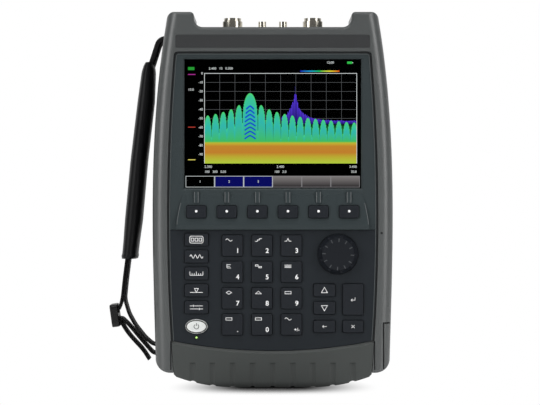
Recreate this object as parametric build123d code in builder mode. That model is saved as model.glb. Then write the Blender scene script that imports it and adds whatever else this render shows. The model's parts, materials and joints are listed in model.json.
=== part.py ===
from build123d import *
import math
import os

# Handheld microwave analyzer standing upright on its bumper.
# Millimetres. +Z is up, the front faces -Y and +X is the viewer's right.
# The origin is on the standing surface, under the middle of the bumper's foot.

os.makedirs("parts", exist_ok=True)

# Case
case_width = 188.0
case_height = 292.4
overall_depth = 72.0
knob_stand = 5.0
case_foot_z = 11.0
widest_z = 150.0
top_narrowing = 11.9
foot_narrowing = 2.6
edge_round = 10.0
foot_corner_round = 12.0
wall = 3.0
cavity_round = 4.0
parting_setback = 25.0
overrun = 1.0

# Horns, the bar between them and the connector deck behind the bar
horn_inner_x = 61.5
horn_outer_round = 6.2
horn_inner_round = 3.0
valley_round = 7.0
horn_height = 11.8
top_bar_depth = 10.0
rear_bar_depth = 7.0
deck_drop = 5.0
deck_half_width = 51.0
deck_round = 4.0
contour_chamfer = 2.0

# Front opening that the panels fill
opening_drop = 30.9
opening_top_round = 3.0
rim_width = 11.8
rim_top_width = 9.6
rim_foot_width = 13.9
groove = 0.4
panel_recess = 2.0
panel_thickness = 3.0
panel_flange = 1.6
seat_clearance = 0.05

# Display
window_width = 138.0
window_top_margin = 5.8
window_foot_margin = 4.8
window_edge_chamfer = 1.2
window_lip = 3.0
window_thickness = 1.5
display_panel_margin = 4.5
display_panel_thickness = 6.0

# Softkey ramp under the display
ridge_z = 122.5
ridge_land = 3.6
ramp_top_z = 150.0
ramp_rise = 3.0
ramp_half_width = 75.4
ramp_top_half_width = 70.3
ramp_bow = 0.8
rib_width = 3.9
rib_low_z = 143.4
rib_high_z = 152.4
rib_rise = 1.4

# Keys
key_clearance = 0.4
key_rise = 1.8
key_flange = 1.0
key_flange_thickness = 1.0
key_travel = 1.2
key_corner_round = 1.2
key_edge_round = 0.5
dome_thickness = 1.0
dome_clearance = 0.2
dome_radius = 3.0
softkey_count = 6
softkey_pitch = 23.8
softkey_z = 136.6
softkey_width = 15.2
softkey_height = 9.6
side_key_x = -59.4
side_key_top_z = 114.9
side_key_pitch = 13.2
side_key_width = 18.3
side_key_height = 9.8
power_z = 47.2
power_width = 17.0
power_height = 11.0
lamp_z = 38.6
lamp_radius = 1.5
lamp_flange = 0.4
lamp_rise = 0.6
digit_middle_x = -8.4
digit_pitch_x = 23.0
digit_top_z = 110.2
digit_pitch_z = 20.5
digit_width = 16.0
digit_height = 16.4
arrow_x = 40.3
arrow_up_z = 75.4
arrow_down_z = 61.7
arrow_width = 16.8
arrow_height = 9.8
enter_x = 62.6
enter_z = 68.3
enter_width = 16.0
enter_height = 24.2
escape_z = 47.2
escape_height = 9.4
board_thickness = 1.6
board_margin = 4.0
board_post_radius = 2.0
board_post_x = 27.2
board_post_left_x = -45.0
board_post_z = 59.0
board_post_top_z = 100.0

# Dial
dial_x = 50.9
dial_z = 103.5
dial_radius = 15.4
dial_top_radius = 12.4
dial_gap = 0.4
dial_skirt = 2.4
dial_well = 0.8
dial_well_clearance = 0.7
nub_count = 9
nub_radius = 1.0
nub_inset = 1.9
nub_drop = 0.8
shaft_radius = 3.0
shaft_fit = 0.05
shaft_grip = 4.0
bush_wall = 1.6
bush_clearance = 0.3
encoder_width = 13.0
encoder_depth = 6.5

# Bumper under the panels
bumper_middle_z = 28.0
bumper_arc_rise = 11.2
bumper_bevel = 2.0
bumper_half_width = 75.0
bumper_corner_z = 8.0
bumper_foot_half = 30.0
bumper_back_inset = 3.0
flute_count = 9
flute_pitch = 15.6
flute_radius = 4.0
flute_depth = 0.8
flute_top_z = 19.0
flute_run = 12.0

# Connectors on the deck
port_y = 12.0
plate_half_width = 45.0
plate_depth = 26.0
plate_thickness = 2.0
rf_port_x = 32.0
rf_nut_across = 19.0
rf_nut_height = 3.0
rf_thread_radius = 7.94
rf_thread_length = 7.6
rf_mouth_radius = 6.9
rf_port_stand = 10.2
rf_bore_radius = 4.3
rf_bore_depth = 6.0
rf_contact_radius = 1.5
rf_contact_drop = 1.2
rf_stem_radius = 5.0
stem_clearance = 0.2
trigger_port_x = 8.3
trigger_nut_across = 8.0
trigger_nut_height = 2.0
trigger_radius = 3.175
trigger_stand = 7.6
trigger_bore_radius = 2.3
trigger_bore_depth = 2.5
trigger_pin_radius = 0.65
trigger_stem_radius = 2.2

# Boards and modules inside
main_board_half_width = 66.0
main_board_foot_z = 58.0
main_board_drop = 18.6
main_board_gap = 2.5
main_post_inset = 6.0
main_post_radius = 3.0
module_half_width = 54.0
module_foot_z = 176.0
module_top_gap = 10.0
module_depth = 34.0
battery_length = 142.0
battery_depth = 26.0
battery_height = 30.0
battery_end_x = 80.0
battery_front_y = -4.0
battery_round = 2.0

# Battery door at the lower right corner
battery_door_seam_x = 86.7
battery_door_top_z = 49.5
door_gap = 0.25
tongue_length = 15.0
tongue_thickness = 2.5
tongue_foot_z = 19.0
tongue_height = 24.0
slide_clearance = 0.3

# Port door on the right side, hinged at its foot
port_bay_front_y = 2.0
port_bay_depth = 23.0
port_bay_foot_z = 110.5
port_bay_height = 104.0
port_bay_floor_x = 86.0
port_bay_wall = 3.0
port_door_proud = 1.4
port_door_inner_x = 90.2
port_knuckle_radius = 2.9
port_pin_radius = 0.8
pin_fit = 0.05
pin_reach = 6.0
pin_seat = 2.5
socket_depth = 14.0
socket_proud = 1.0
socket_cavity_depth = 10.0
socket_clearance = 0.15
network_socket_z = 133.0
network_socket_size = (16.0, 14.0)
network_cavity_size = (12.0, 8.6)
data_socket_z = 158.0
data_socket_pitch = 18.0
data_socket_size = (16.0, 9.0)
data_cavity_size = (13.0, 5.4)

# Tilt stand on the back
stand_axis_z = 178.0
stand_length = 130.0
stand_width = 108.0
stand_thickness = 5.0
stand_arm_width = 12.0
stand_bar_height = 16.0
stand_round = 8.0
stand_bay_depth = 6.0
stand_bay_clearance = 0.6
stand_bay_wall = 8.0
stand_bay_floor = 2.5
stand_pin_radius = 1.5

# Screws that hold the two housings together
screw_foot_z = 64.0
screw_middle_drop = 66.4
screw_top_drop = 24.9
screw_boss_radius = 3.2
screw_boss_merge = 0.8
screw_sink = 8.0
screw_head_radius = 2.8
screw_head_height = 2.4
screw_socket_across = 2.5
screw_socket_depth = 1.2
screw_radius = 1.5
screw_reach = 10.0
screw_clearance = 0.15

# Hand strap on the left side, from a slot in the horn to two slots near the foot
strap_y = 8.0
strap_width = 22.0
strap_thickness = 1.8
strap_clearance = 0.3
strap_top_drop = 18.9
strap_top_thickness = 4.4
strap_slot_depth = 6.0
strap_low_z = 30.7
strap_return_drop = 7.0
strap_reach = 20.0
strap_loop_depth = 8.0
strap_lead = 2.5
strap_bend = 12.0
strap_slot_bend = 4.0
strap_turn = 2.4
sleeve_width = 46.0
sleeve_thickness = 14.0
sleeve_corner_share = 0.42
slider_width = 28.0
slider_length = 18.0
slider_thickness = 6.0
slider_window = 4.0
slider_bar = 3.0
slider_tilt = 8.0

# Nameplate
nameplate_width = 151.6
nameplate_height = 10.2
nameplate_drop = 23.0
nameplate_thickness = 0.8
nameplate_clearance = 0.15
nameplate_round = 1.0

case_half = case_width / 2
back_y = overall_depth / 2
rim_y = knob_stand - back_y
parting_y = rim_y + parting_setback
lip_back_y = rim_y + wall
panel_y = rim_y + panel_recess
panel_back_y = panel_y + panel_thickness
panel_flange_thickness = panel_back_y - lip_back_y - seat_clearance
top_bar_z = case_height - horn_height
deck_z = top_bar_z - deck_drop
cavity_floor_z = case_foot_z + wall
cavity_top_z = deck_z - wall
opening_top_z = case_height - opening_drop
window_top_z = opening_top_z - window_top_margin
window_foot_z = ramp_top_z + window_foot_margin
window_height = window_top_z - window_foot_z
window_z = (window_top_z + window_foot_z) / 2
nameplate_z = case_height - nameplate_drop
strap_top_z = case_height - strap_top_drop
rf_port_top_z = top_bar_z + rf_port_stand
trigger_top_z = top_bar_z + trigger_stand
main_board_top_z = cavity_top_z - main_board_drop
screw_heights = (screw_foot_z, case_height - screw_middle_drop, case_height - screw_top_drop)
middle_y = (rim_y + back_y) / 2
case_depth = back_y - rim_y
key_flange_back_y = panel_back_y + key_flange_thickness
board_y = key_flange_back_y + key_travel + dome_clearance + dome_thickness
board_back_y = board_y + board_thickness


def at_depth(y):
    """Plane that faces the front at depth y, with local x along X and local y along Z."""
    return Plane.XZ.offset(-y)


def case_half_width(z):
    """Half of the bowed case's width at height z."""
    if z > widest_z:
        return case_half - top_narrowing * ((z - widest_z) / (case_height - widest_z)) ** 2
    return case_half - foot_narrowing * ((widest_z - z) / (widest_z - case_foot_z)) ** 2


section_shares = (0.0, 0.25, 0.5, 0.75, 1.0)


def case_sections(low_z, high_z, inset, corner_round):
    """Rounded cross-sections of the case from low_z to high_z, drawn in by inset."""
    sections = []
    for share in section_shares:
        z = low_z + share * (high_z - low_z)
        with BuildSketch(Plane.XY.offset(z)) as section:
            with Locations((0, middle_y)):
                RectangleRounded(
                    2 * (case_half_width(z) - inset), case_depth - 2 * inset, corner_round
                )
        sections.append(section.sketch)
    return sections


def front_contour(plane):
    """Front outline of the case: rounded feet, two horns and the bar between them."""
    foot_z = case_foot_z + foot_corner_round
    foot_x = case_half_width(foot_z)
    horn_z = case_height - horn_outer_round
    horn_x = case_half_width(horn_z)
    clear_x = case_half + edge_round
    with BuildSketch(plane) as contour:
        with BuildLine():
            Line((0, case_foot_z), (foot_x - foot_corner_round, case_foot_z))
            TangentArc((foot_x - foot_corner_round, case_foot_z), (foot_x, foot_z), tangent=(1, 0))
            Polyline(
                (foot_x, foot_z),
                (clear_x, foot_z + foot_corner_round),
                (clear_x, horn_z - foot_corner_round),
                (horn_x, horn_z),
            )
            TangentArc((horn_x, horn_z), (horn_x - horn_outer_round, case_height), tangent=(0, 1))
            Line((horn_x - horn_outer_round, case_height), (horn_inner_x + horn_inner_round, case_height))
            TangentArc(
                (horn_inner_x + horn_inner_round, case_height),
                (horn_inner_x, case_height - horn_inner_round),
                tangent=(-1, 0),
            )
            Line((horn_inner_x, case_height - horn_inner_round), (horn_inner_x, top_bar_z + valley_round))
            TangentArc(
                (horn_inner_x, top_bar_z + valley_round),
                (horn_inner_x - valley_round, top_bar_z),
                tangent=(0, -1),
            )
            Line((horn_inner_x - valley_round, top_bar_z), (0, top_bar_z))
            mirror(about=Plane.YZ)
        make_face()
    return contour.sketch


def opening_contour(plane, inset):
    """Front opening between the side rims, drawn in by inset, down to the standing surface."""
    top_z = opening_top_z - inset
    top_x = case_half_width(opening_top_z) - rim_top_width - inset
    side_x = case_half_width(widest_z) - rim_width - inset
    foot_x = case_half_width(case_foot_z) - rim_foot_width - inset
    with BuildSketch(plane) as contour:
        with BuildLine():
            Polyline((0, 0), (foot_x, 0), (foot_x, case_foot_z))
            ThreePointArc(
                (foot_x, case_foot_z), (side_x, widest_z), (top_x, top_z - opening_top_round)
            )
            TangentArc(
                (top_x, top_z - opening_top_round), (top_x - opening_top_round, top_z), tangent=(0, 1)
            )
            Line((top_x - opening_top_round, top_z), (0, top_z))
            mirror(about=Plane.YZ)
        make_face()
    return contour.sketch


# Block with the front outline of the case, its front and back edges chamfered
with BuildPart() as contour_block:
    extrude(
        front_contour(at_depth(back_y - contour_chamfer)), amount=case_depth - 2 * contour_chamfer
    )
    extrude(front_contour(at_depth(rim_y + contour_chamfer)), amount=contour_chamfer, taper=45)
    extrude(front_contour(at_depth(back_y - contour_chamfer)), amount=-contour_chamfer, taper=45)

# Hollow bowed case with its horns and the sunk connector deck, before it is parted
with BuildPart() as case_body:
    loft(case_sections(case_foot_z, case_height, 0, edge_round))
    add(contour_block.part, mode=Mode.INTERSECT)
    loft(case_sections(cavity_floor_z, cavity_top_z, wall, cavity_round), mode=Mode.SUBTRACT)
    with BuildSketch(Plane.XY.offset(deck_z)):
        with Locations((0, rim_y + top_bar_depth)):
            RectangleRounded(
                2 * deck_half_width,
                case_depth - top_bar_depth - rear_bar_depth,
                deck_round,
                align=(Align.CENTER, Align.MIN),
            )
    extrude(amount=deck_drop + overrun, mode=Mode.SUBTRACT)

# Places of the screws, close inside the side walls
screw_places = []
for screw_z in screw_heights:
    screw_x = case_half_width(screw_z) - wall - screw_boss_radius + screw_boss_merge
    screw_places.append((screw_x, screw_z))
    screw_places.append((-screw_x, screw_z))
screw_seat_y = back_y - screw_sink

# Front housing
with BuildPart() as front_housing:
    add(case_body.part)
    split(bisect_by=at_depth(parting_y), keep=Keep.TOP)
    extrude(
        opening_contour(at_depth(rim_y - overrun), 0),
        amount=-(panel_back_y - rim_y + overrun),
        mode=Mode.SUBTRACT,
    )
    with BuildSketch(at_depth(rim_y)):
        with Locations((0, nameplate_z)):
            RectangleRounded(nameplate_width, nameplate_height, nameplate_round)
    extrude(amount=-nameplate_thickness, mode=Mode.SUBTRACT)
    with BuildSketch(at_depth(parting_y)):
        with Locations(screw_places):
            Circle(screw_boss_radius)
    extrude(amount=parting_y - lip_back_y)
    with BuildSketch(at_depth(parting_y)):
        with Locations(screw_places):
            Circle(screw_radius + pin_fit)
    extrude(amount=screw_reach + overrun, mode=Mode.SUBTRACT)
    with Locations((battery_door_seam_x, 0, 0)):
        Box(
            case_half,
            case_width,
            battery_door_top_z,
            align=(Align.MIN, Align.CENTER, Align.MIN),
            mode=Mode.SUBTRACT,
        )
front_housing.part.label = "front_housing"
export_step(front_housing.part, "parts/front_housing.step")

# Places shared by the rear housing and what it carries
main_board_y = board_back_y + encoder_depth + main_board_gap
main_board_back_y = main_board_y + board_thickness
cavity_back_y = back_y - wall
main_post_x = main_board_half_width - main_post_inset
main_post_places = []
for post_z in (main_board_foot_z + main_post_inset, main_board_top_z - main_post_inset):
    main_post_places.append((main_post_x, post_z))
    main_post_places.append((-main_post_x, post_z))
port_bay_back_y = port_bay_front_y + port_bay_depth
port_bay_top_z = port_bay_foot_z + port_bay_height
port_bay_middle_y = (port_bay_front_y + port_bay_back_y) / 2
port_axis_z = port_bay_foot_z + port_knuckle_radius + 2 * slide_clearance
port_axis_x = case_half_width(port_axis_z) + port_door_proud - port_knuckle_radius
sockets = [(network_socket_z, network_socket_size, network_cavity_size)]
sockets.append((data_socket_z, data_socket_size, data_cavity_size))
sockets.append((data_socket_z + data_socket_pitch, data_socket_size, data_cavity_size))
stand_axis_y = back_y - stand_bay_depth / 2
stand_top_z = stand_axis_z + stand_thickness / 2
stand_foot_z = stand_axis_z - stand_length
stand_bay_width = stand_width + 2 * stand_bay_clearance
stand_bay_top_z = stand_top_z + stand_bay_clearance
stand_bay_foot_z = stand_foot_z - stand_bay_clearance
stand_bay_middle_z = (stand_bay_top_z + stand_bay_foot_z) / 2
stand_bay_height = stand_bay_top_z - stand_bay_foot_z
rf_port_places = ((-rf_port_x, port_y), (rf_port_x, port_y))
trigger_port_places = ((-trigger_port_x, port_y), (trigger_port_x, port_y))

strap_top_x = case_half_width(strap_top_z)
strap_low_x = case_half_width(strap_low_z)
strap_return_z = strap_low_z - strap_return_drop
strap_slots = (
    (strap_top_x, strap_top_z, strap_top_thickness, strap_slot_depth),
    (strap_low_x, strap_low_z, strap_thickness, wall + overrun),
    (strap_low_x, strap_return_z, strap_thickness, wall + overrun),
)

# Rear housing with its board posts, side port bay and the bay of the tilt stand
with BuildPart() as rear_housing:
    add(case_body.part)
    split(bisect_by=at_depth(parting_y), keep=Keep.BOTTOM)
    with BuildSketch(at_depth(cavity_back_y)):
        with Locations(main_post_places):
            Circle(main_post_radius)
    extrude(amount=cavity_back_y - main_board_back_y)
    with BuildSketch(at_depth(cavity_back_y)):
        with Locations(screw_places):
            Circle(screw_boss_radius)
    extrude(amount=cavity_back_y - parting_y)
    with Locations((port_bay_floor_x - port_bay_wall, port_bay_middle_y, port_bay_foot_z - port_bay_wall)):
        Box(
            port_bay_wall + case_half_width(port_bay_top_z) - wall / 2 - port_bay_floor_x,
            port_bay_depth + 2 * port_bay_wall,
            port_bay_height + 2 * port_bay_wall,
            align=(Align.MIN, Align.CENTER, Align.MIN),
        )
    with Locations((port_bay_floor_x, port_bay_middle_y, port_bay_foot_z)):
        Box(
            case_half,
            port_bay_depth,
            port_bay_height,
            align=(Align.MIN, Align.CENTER, Align.MIN),
            mode=Mode.SUBTRACT,
        )
    with BuildSketch(Plane.YZ.offset(port_bay_floor_x - port_bay_wall - overrun)):
        for socket_z, socket_size, cavity_size in sockets:
            with Locations((port_bay_middle_y, socket_z)):
                Rectangle(socket_size[0] + 2 * socket_clearance, socket_size[1] + 2 * socket_clearance)
    extrude(amount=port_bay_wall + 2 * overrun, mode=Mode.SUBTRACT)
    with BuildSketch(Plane.XZ.offset(-port_bay_front_y - port_bay_depth - pin_seat)):
        with Locations((port_axis_x, port_axis_z)):
            Circle(port_pin_radius + pin_fit)
    extrude(amount=port_bay_depth + 2 * pin_seat, mode=Mode.SUBTRACT)
    with BuildSketch(at_depth(back_y - overrun)):
        with Locations((0, stand_bay_middle_z)):
            Rectangle(stand_bay_width + 2 * stand_bay_wall, stand_bay_height + 2 * stand_bay_wall)
    extrude(amount=stand_bay_depth + stand_bay_floor - overrun)
    with BuildSketch(at_depth(back_y + overrun)):
        with Locations((0, stand_bay_middle_z)):
            Rectangle(stand_bay_width, stand_bay_height)
    extrude(amount=stand_bay_depth + overrun, mode=Mode.SUBTRACT)
    with BuildSketch(Plane.YZ.offset(-stand_bay_width / 2 - pin_seat)):
        with Locations((stand_axis_y, stand_axis_z)):
            Circle(stand_pin_radius + pin_fit)
    extrude(amount=stand_bay_width + 2 * pin_seat, mode=Mode.SUBTRACT)
    with BuildSketch(Plane.XY.offset(cavity_top_z - overrun)):
        with Locations(rf_port_places):
            Circle(rf_stem_radius + stem_clearance)
        with Locations(trigger_port_places):
            Circle(trigger_stem_radius + stem_clearance)
    extrude(amount=wall + 2 * overrun, mode=Mode.SUBTRACT)
    with BuildSketch(at_depth(back_y + overrun)):
        with Locations(screw_places):
            Circle(screw_head_radius + screw_clearance)
    extrude(amount=screw_sink + overrun, mode=Mode.SUBTRACT)
    with BuildSketch(at_depth(back_y)):
        with Locations(screw_places):
            Circle(screw_radius + screw_clearance)
    extrude(amount=case_depth - parting_setback + overrun, mode=Mode.SUBTRACT)
    with Locations((battery_door_seam_x, 0, 0)):
        Box(
            case_half,
            case_width,
            battery_door_top_z,
            align=(Align.MIN, Align.CENTER, Align.MIN),
            mode=Mode.SUBTRACT,
        )
    for slot_x, slot_z, slot_thickness, slot_depth in strap_slots:
        with Locations((slot_depth - slot_x, strap_y, slot_z)):
            Box(
                slot_depth + edge_round,
                strap_width + 2 * strap_clearance,
                slot_thickness + 2 * strap_clearance,
                align=(Align.MAX, Align.CENTER, Align.CENTER),
                mode=Mode.SUBTRACT,
            )
rear_housing.part.label = "rear_housing"
export_step(rear_housing.part, "parts/rear_housing.step")

# Nameplate, left bare
with BuildPart() as nameplate:
    with BuildSketch(at_depth(rim_y + nameplate_thickness)):
        with Locations((0, nameplate_z)):
            RectangleRounded(
                nameplate_width - 2 * nameplate_clearance,
                nameplate_height - 2 * nameplate_clearance,
                nameplate_round - nameplate_clearance,
            )
    extrude(amount=nameplate_thickness)
nameplate.part.label = "nameplate"
export_step(nameplate.part, "parts/nameplate.step")

# Display bezel with the softkey ramp
softkey_places = []
for index in range(softkey_count):
    softkey_places.append(((index - (softkey_count - 1) / 2) * softkey_pitch, softkey_z))
bezel_foot_z = ridge_z + groove / 2
crest_z = ridge_z + ridge_land
ramp_share = (ramp_top_z - softkey_z) / (ramp_top_z - crest_z)
softkey_ramp_y = panel_y - ramp_share * ramp_rise
ramp_normal = (0, crest_z - ramp_top_z, ramp_rise)

with BuildPart() as display_bezel:
    extrude(opening_contour(at_depth(panel_back_y), groove), amount=panel_thickness)
    extrude(opening_contour(at_depth(panel_back_y), -panel_flange), amount=panel_flange_thickness)
    split(bisect_by=Plane.XY.offset(bezel_foot_z), keep=Keep.TOP)
    ramp_middle_x = (ramp_half_width + ramp_top_half_width) / 2 + ramp_bow
    ramp_middle_z = (bezel_foot_z + ramp_top_z) / 2
    with BuildSketch(at_depth(panel_y)):
        with BuildLine():
            Line((0, bezel_foot_z), (ramp_half_width, bezel_foot_z))
            ThreePointArc(
                (ramp_half_width, bezel_foot_z),
                (ramp_middle_x, ramp_middle_z),
                (ramp_top_half_width, ramp_top_z),
            )
            Line((ramp_top_half_width, ramp_top_z), (0, ramp_top_z))
            mirror(about=Plane.YZ)
        make_face()
    extrude(amount=ramp_rise)
    with BuildSketch(Plane.YZ.offset(-case_half)):
        with BuildLine():
            Polyline(
                (panel_y, ramp_top_z),
                (panel_y - ramp_rise, crest_z),
                (panel_y - ramp_rise - overrun, crest_z),
                (panel_y - ramp_rise - overrun, ramp_top_z),
                close=True,
            )
        make_face()
    extrude(amount=case_width, mode=Mode.SUBTRACT)
    with BuildSketch(at_depth(panel_y)):
        with Locations([(x, (rib_low_z + rib_high_z) / 2) for x, z in softkey_places]):
            Rectangle(rib_width, rib_high_z - rib_low_z)
    extrude(amount=rib_rise)
    with BuildSketch(at_depth(panel_y)):
        with Locations((0, window_z)):
            Rectangle(window_width + 2 * window_edge_chamfer, window_height + 2 * window_edge_chamfer)
    extrude(amount=-window_edge_chamfer, taper=45, mode=Mode.SUBTRACT)
    with BuildSketch(at_depth(panel_back_y + overrun)):
        with Locations((0, window_z)):
            Rectangle(window_width, window_height)
        with Locations(softkey_places):
            RectangleRounded(
                softkey_width + 2 * key_clearance,
                softkey_height + 2 * key_clearance,
                key_corner_round + key_clearance,
            )
    extrude(amount=panel_thickness + ramp_rise + 2 * overrun, mode=Mode.SUBTRACT)
display_bezel.part.label = "display_bezel"
export_step(display_bezel.part, "parts/display_bezel.step")

# Display window, seated on the back of the bezel
with BuildPart() as display_window:
    with BuildSketch(at_depth(panel_back_y + window_thickness)):
        with Locations((0, window_z)):
            Rectangle(window_width + 2 * window_lip, window_height + 2 * window_lip)
    extrude(amount=window_thickness)
display_window.part.label = "display_window"
export_step(display_window.part, "parts/display_window.step")

# Display panel behind the window
display_panel_y = panel_back_y + window_thickness
with BuildPart() as display_panel:
    with BuildSketch(at_depth(display_panel_y + display_panel_thickness)):
        with Locations((0, window_z)):
            Rectangle(
                window_width + 2 * display_panel_margin, window_height + 2 * display_panel_margin
            )
    extrude(amount=display_panel_thickness)
display_panel.part.label = "display_panel"
export_step(display_panel.part, "parts/display_panel.step")

# Places and sizes of the rectangular keys in the keypad panel
side_key_names = ("mode_key", "frequency_key", "scale_key", "marker_key", "tools_key")
digit_key_rows = (
    ("digit_1_key", "digit_2_key", "digit_3_key"),
    ("digit_4_key", "digit_5_key", "digit_6_key"),
    ("digit_7_key", "digit_8_key", "digit_9_key"),
    ("point_key", "digit_0_key", "sign_key"),
)
panel_keys = []
for index, name in enumerate(side_key_names):
    key_z = side_key_top_z - index * side_key_pitch
    panel_keys.append((name, side_key_x, key_z, side_key_width, side_key_height))
for row, names in enumerate(digit_key_rows):
    for column, name in enumerate(names):
        key_x = digit_middle_x + (column - 1) * digit_pitch_x
        key_z = digit_top_z - row * digit_pitch_z
        panel_keys.append((name, key_x, key_z, digit_width, digit_height))
panel_keys.append(("up_key", arrow_x, arrow_up_z, arrow_width, arrow_height))
panel_keys.append(("down_key", arrow_x, arrow_down_z, arrow_width, arrow_height))
panel_keys.append(("back_key", arrow_x, escape_z, arrow_width, escape_height))
panel_keys.append(("enter_key", enter_x, enter_z, enter_width, enter_height))
panel_keys.append(("escape_key", enter_x, escape_z, enter_width, escape_height))
board_post_places = (
    (board_post_left_x, board_post_z),
    (board_post_left_x, board_post_top_z),
    (board_post_x, board_post_z),
    (board_post_x, board_post_top_z),
)
bush_radius = shaft_radius + shaft_fit + bush_wall


def below_bumper_arc(plane, gap):
    """Everything in front view below the bumper's arched top edge, moved up by gap."""
    with BuildSketch(plane) as region:
        with BuildLine():
            end_z = bumper_middle_z + bumper_arc_rise + gap
            ThreePointArc((-case_half, end_z), (0, bumper_middle_z + gap), (case_half, end_z))
            Polyline((case_half, end_z), (case_half, -overrun), (-case_half, -overrun), (-case_half, end_z))
        make_face()
    return region.sketch


# Keypad panel with its key apertures, the dial's well and posts for the board
with BuildPart() as keypad_panel:
    extrude(opening_contour(at_depth(panel_back_y), groove), amount=panel_thickness)
    extrude(opening_contour(at_depth(panel_back_y), -panel_flange), amount=panel_flange_thickness)
    split(bisect_by=Plane.XY.offset(ridge_z - groove / 2), keep=Keep.BOTTOM)
    extrude(
        below_bumper_arc(at_depth(panel_back_y + overrun), groove),
        amount=panel_thickness + 2 * overrun,
        mode=Mode.SUBTRACT,
    )
    with BuildSketch(at_depth(panel_back_y + overrun)):
        for name, key_x, key_z, key_width, key_height in panel_keys:
            with Locations((key_x, key_z)):
                RectangleRounded(
                    key_width + 2 * key_clearance,
                    key_height + 2 * key_clearance,
                    key_corner_round + key_clearance,
                )
        with Locations((side_key_x, power_z)):
            Ellipse(power_width / 2 + key_clearance, power_height / 2 + key_clearance)
        with Locations((side_key_x, lamp_z)):
            Circle(lamp_radius + nameplate_clearance)
        with Locations((dial_x, dial_z)):
            Circle(bush_radius + bush_clearance)
    extrude(amount=panel_thickness + 2 * overrun, mode=Mode.SUBTRACT)
    with BuildSketch(at_depth(panel_y + dial_well)):
        with Locations((dial_x, dial_z)):
            Circle(dial_radius + dial_well_clearance)
    extrude(amount=dial_well + overrun, mode=Mode.SUBTRACT)
    with BuildSketch(at_depth(panel_back_y)):
        with Locations(board_post_places):
            Circle(board_post_radius)
    extrude(amount=panel_back_y - board_y)
keypad_panel.part.label = "keypad_panel"
export_step(keypad_panel.part, "parts/keypad_panel.step")


def key_part(x, z, width, height):
    """Key cap that stands through its panel, with the flange that keeps it in."""
    with BuildPart() as key:
        with BuildSketch(at_depth(key_flange_back_y)):
            with Locations((x, z)):
                RectangleRounded(
                    width + 2 * key_flange, height + 2 * key_flange, key_corner_round + key_flange
                )
        extrude(amount=key_flange_thickness)
        with BuildSketch(at_depth(panel_back_y)):
            with Locations((x, z)):
                RectangleRounded(width, height, key_corner_round)
        extrude(amount=panel_thickness + key_rise)
        fillet(key.faces().sort_by(Axis.Y)[0].edges(), key_edge_round)
    return key.part


# Rectangular keys of the keypad panel
for name, key_x, key_z, key_width, key_height in panel_keys:
    panel_key = key_part(key_x, key_z, key_width, key_height)
    panel_key.label = name
    export_step(panel_key, f"parts/{name}.step")

# Softkeys, their caps cut parallel to the ramp
softkey_cap_plane = Plane(origin=(0, softkey_ramp_y - key_rise, softkey_z), z_dir=ramp_normal)
for index, (key_x, key_z) in enumerate(softkey_places):
    with BuildPart() as softkey:
        with BuildSketch(at_depth(key_flange_back_y)):
            with Locations((key_x, key_z)):
                RectangleRounded(
                    softkey_width + 2 * key_flange,
                    softkey_height + 2 * key_flange,
                    key_corner_round + key_flange,
                )
        extrude(amount=key_flange_thickness)
        with BuildSketch(at_depth(panel_back_y)):
            with Locations((key_x, key_z)):
                RectangleRounded(softkey_width, softkey_height, key_corner_round)
        extrude(amount=panel_thickness + 2 * ramp_rise + key_rise)
        split(bisect_by=softkey_cap_plane, keep=Keep.BOTTOM)
        fillet(softkey.faces().sort_by(Axis.Y)[0].edges(), key_edge_round)
    softkey.part.label = f"softkey_{index + 1}"
    export_step(softkey.part, f"parts/softkey_{index + 1}.step")

# Oval power button
with BuildPart() as power_button:
    with BuildSketch(at_depth(key_flange_back_y)):
        with Locations((side_key_x, power_z)):
            Ellipse(power_width / 2 + key_flange, power_height / 2 + key_flange)
    extrude(amount=key_flange_thickness)
    with BuildSketch(at_depth(panel_back_y)):
        with Locations((side_key_x, power_z)):
            Ellipse(power_width / 2, power_height / 2)
    extrude(amount=panel_thickness + key_rise)
    fillet(power_button.faces().sort_by(Axis.Y)[0].edges(), key_edge_round)
power_button.part.label = "power_button"
export_step(power_button.part, "parts/power_button.step")

# Power lamp lens under the power button
with BuildPart() as power_lamp:
    with BuildSketch(at_depth(key_flange_back_y)):
        with Locations((side_key_x, lamp_z)):
            Circle(lamp_radius + lamp_flange)
    extrude(amount=key_flange_thickness)
    with BuildSketch(at_depth(panel_back_y)):
        with Locations((side_key_x, lamp_z)):
            Circle(lamp_radius)
    extrude(amount=panel_thickness + lamp_rise)
    fillet(power_lamp.faces().sort_by(Axis.Y)[0].edges(), lamp_rise - lamp_rise / 6)
power_lamp.part.label = "power_lamp"
export_step(power_lamp.part, "parts/power_lamp.step")

# Keypad board, with the hole for the dial's bush
board_half_width = (softkey_count - 1) / 2 * softkey_pitch + softkey_width / 2 + board_margin
board_top_z = softkey_z + softkey_height / 2 + board_margin
board_foot_z = lamp_z - lamp_radius - board_margin
with BuildPart() as keypad_board:
    with BuildSketch(at_depth(board_back_y)):
        with Locations((0, (board_top_z + board_foot_z) / 2)):
            Rectangle(2 * board_half_width, board_top_z - board_foot_z)
        with Locations((dial_x, dial_z)):
            Circle(bush_radius + bush_clearance, mode=Mode.SUBTRACT)
    extrude(amount=board_thickness)
keypad_board.part.label = "keypad_board"
export_step(keypad_board.part, "parts/keypad_board.step")

# Switch domes on the board, one under each key
dome_places = softkey_places + [(x, z) for name, x, z, width, height in panel_keys]
dome_places.append((side_key_x, power_z))
with BuildPart() as switch_domes:
    with BuildSketch(at_depth(board_y)):
        with Locations(dome_places):
            Circle(dome_radius)
    extrude(amount=dome_thickness)
switch_domes.part.label = "switch_domes"
export_step(switch_domes.part, "parts/switch_domes.step")

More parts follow.
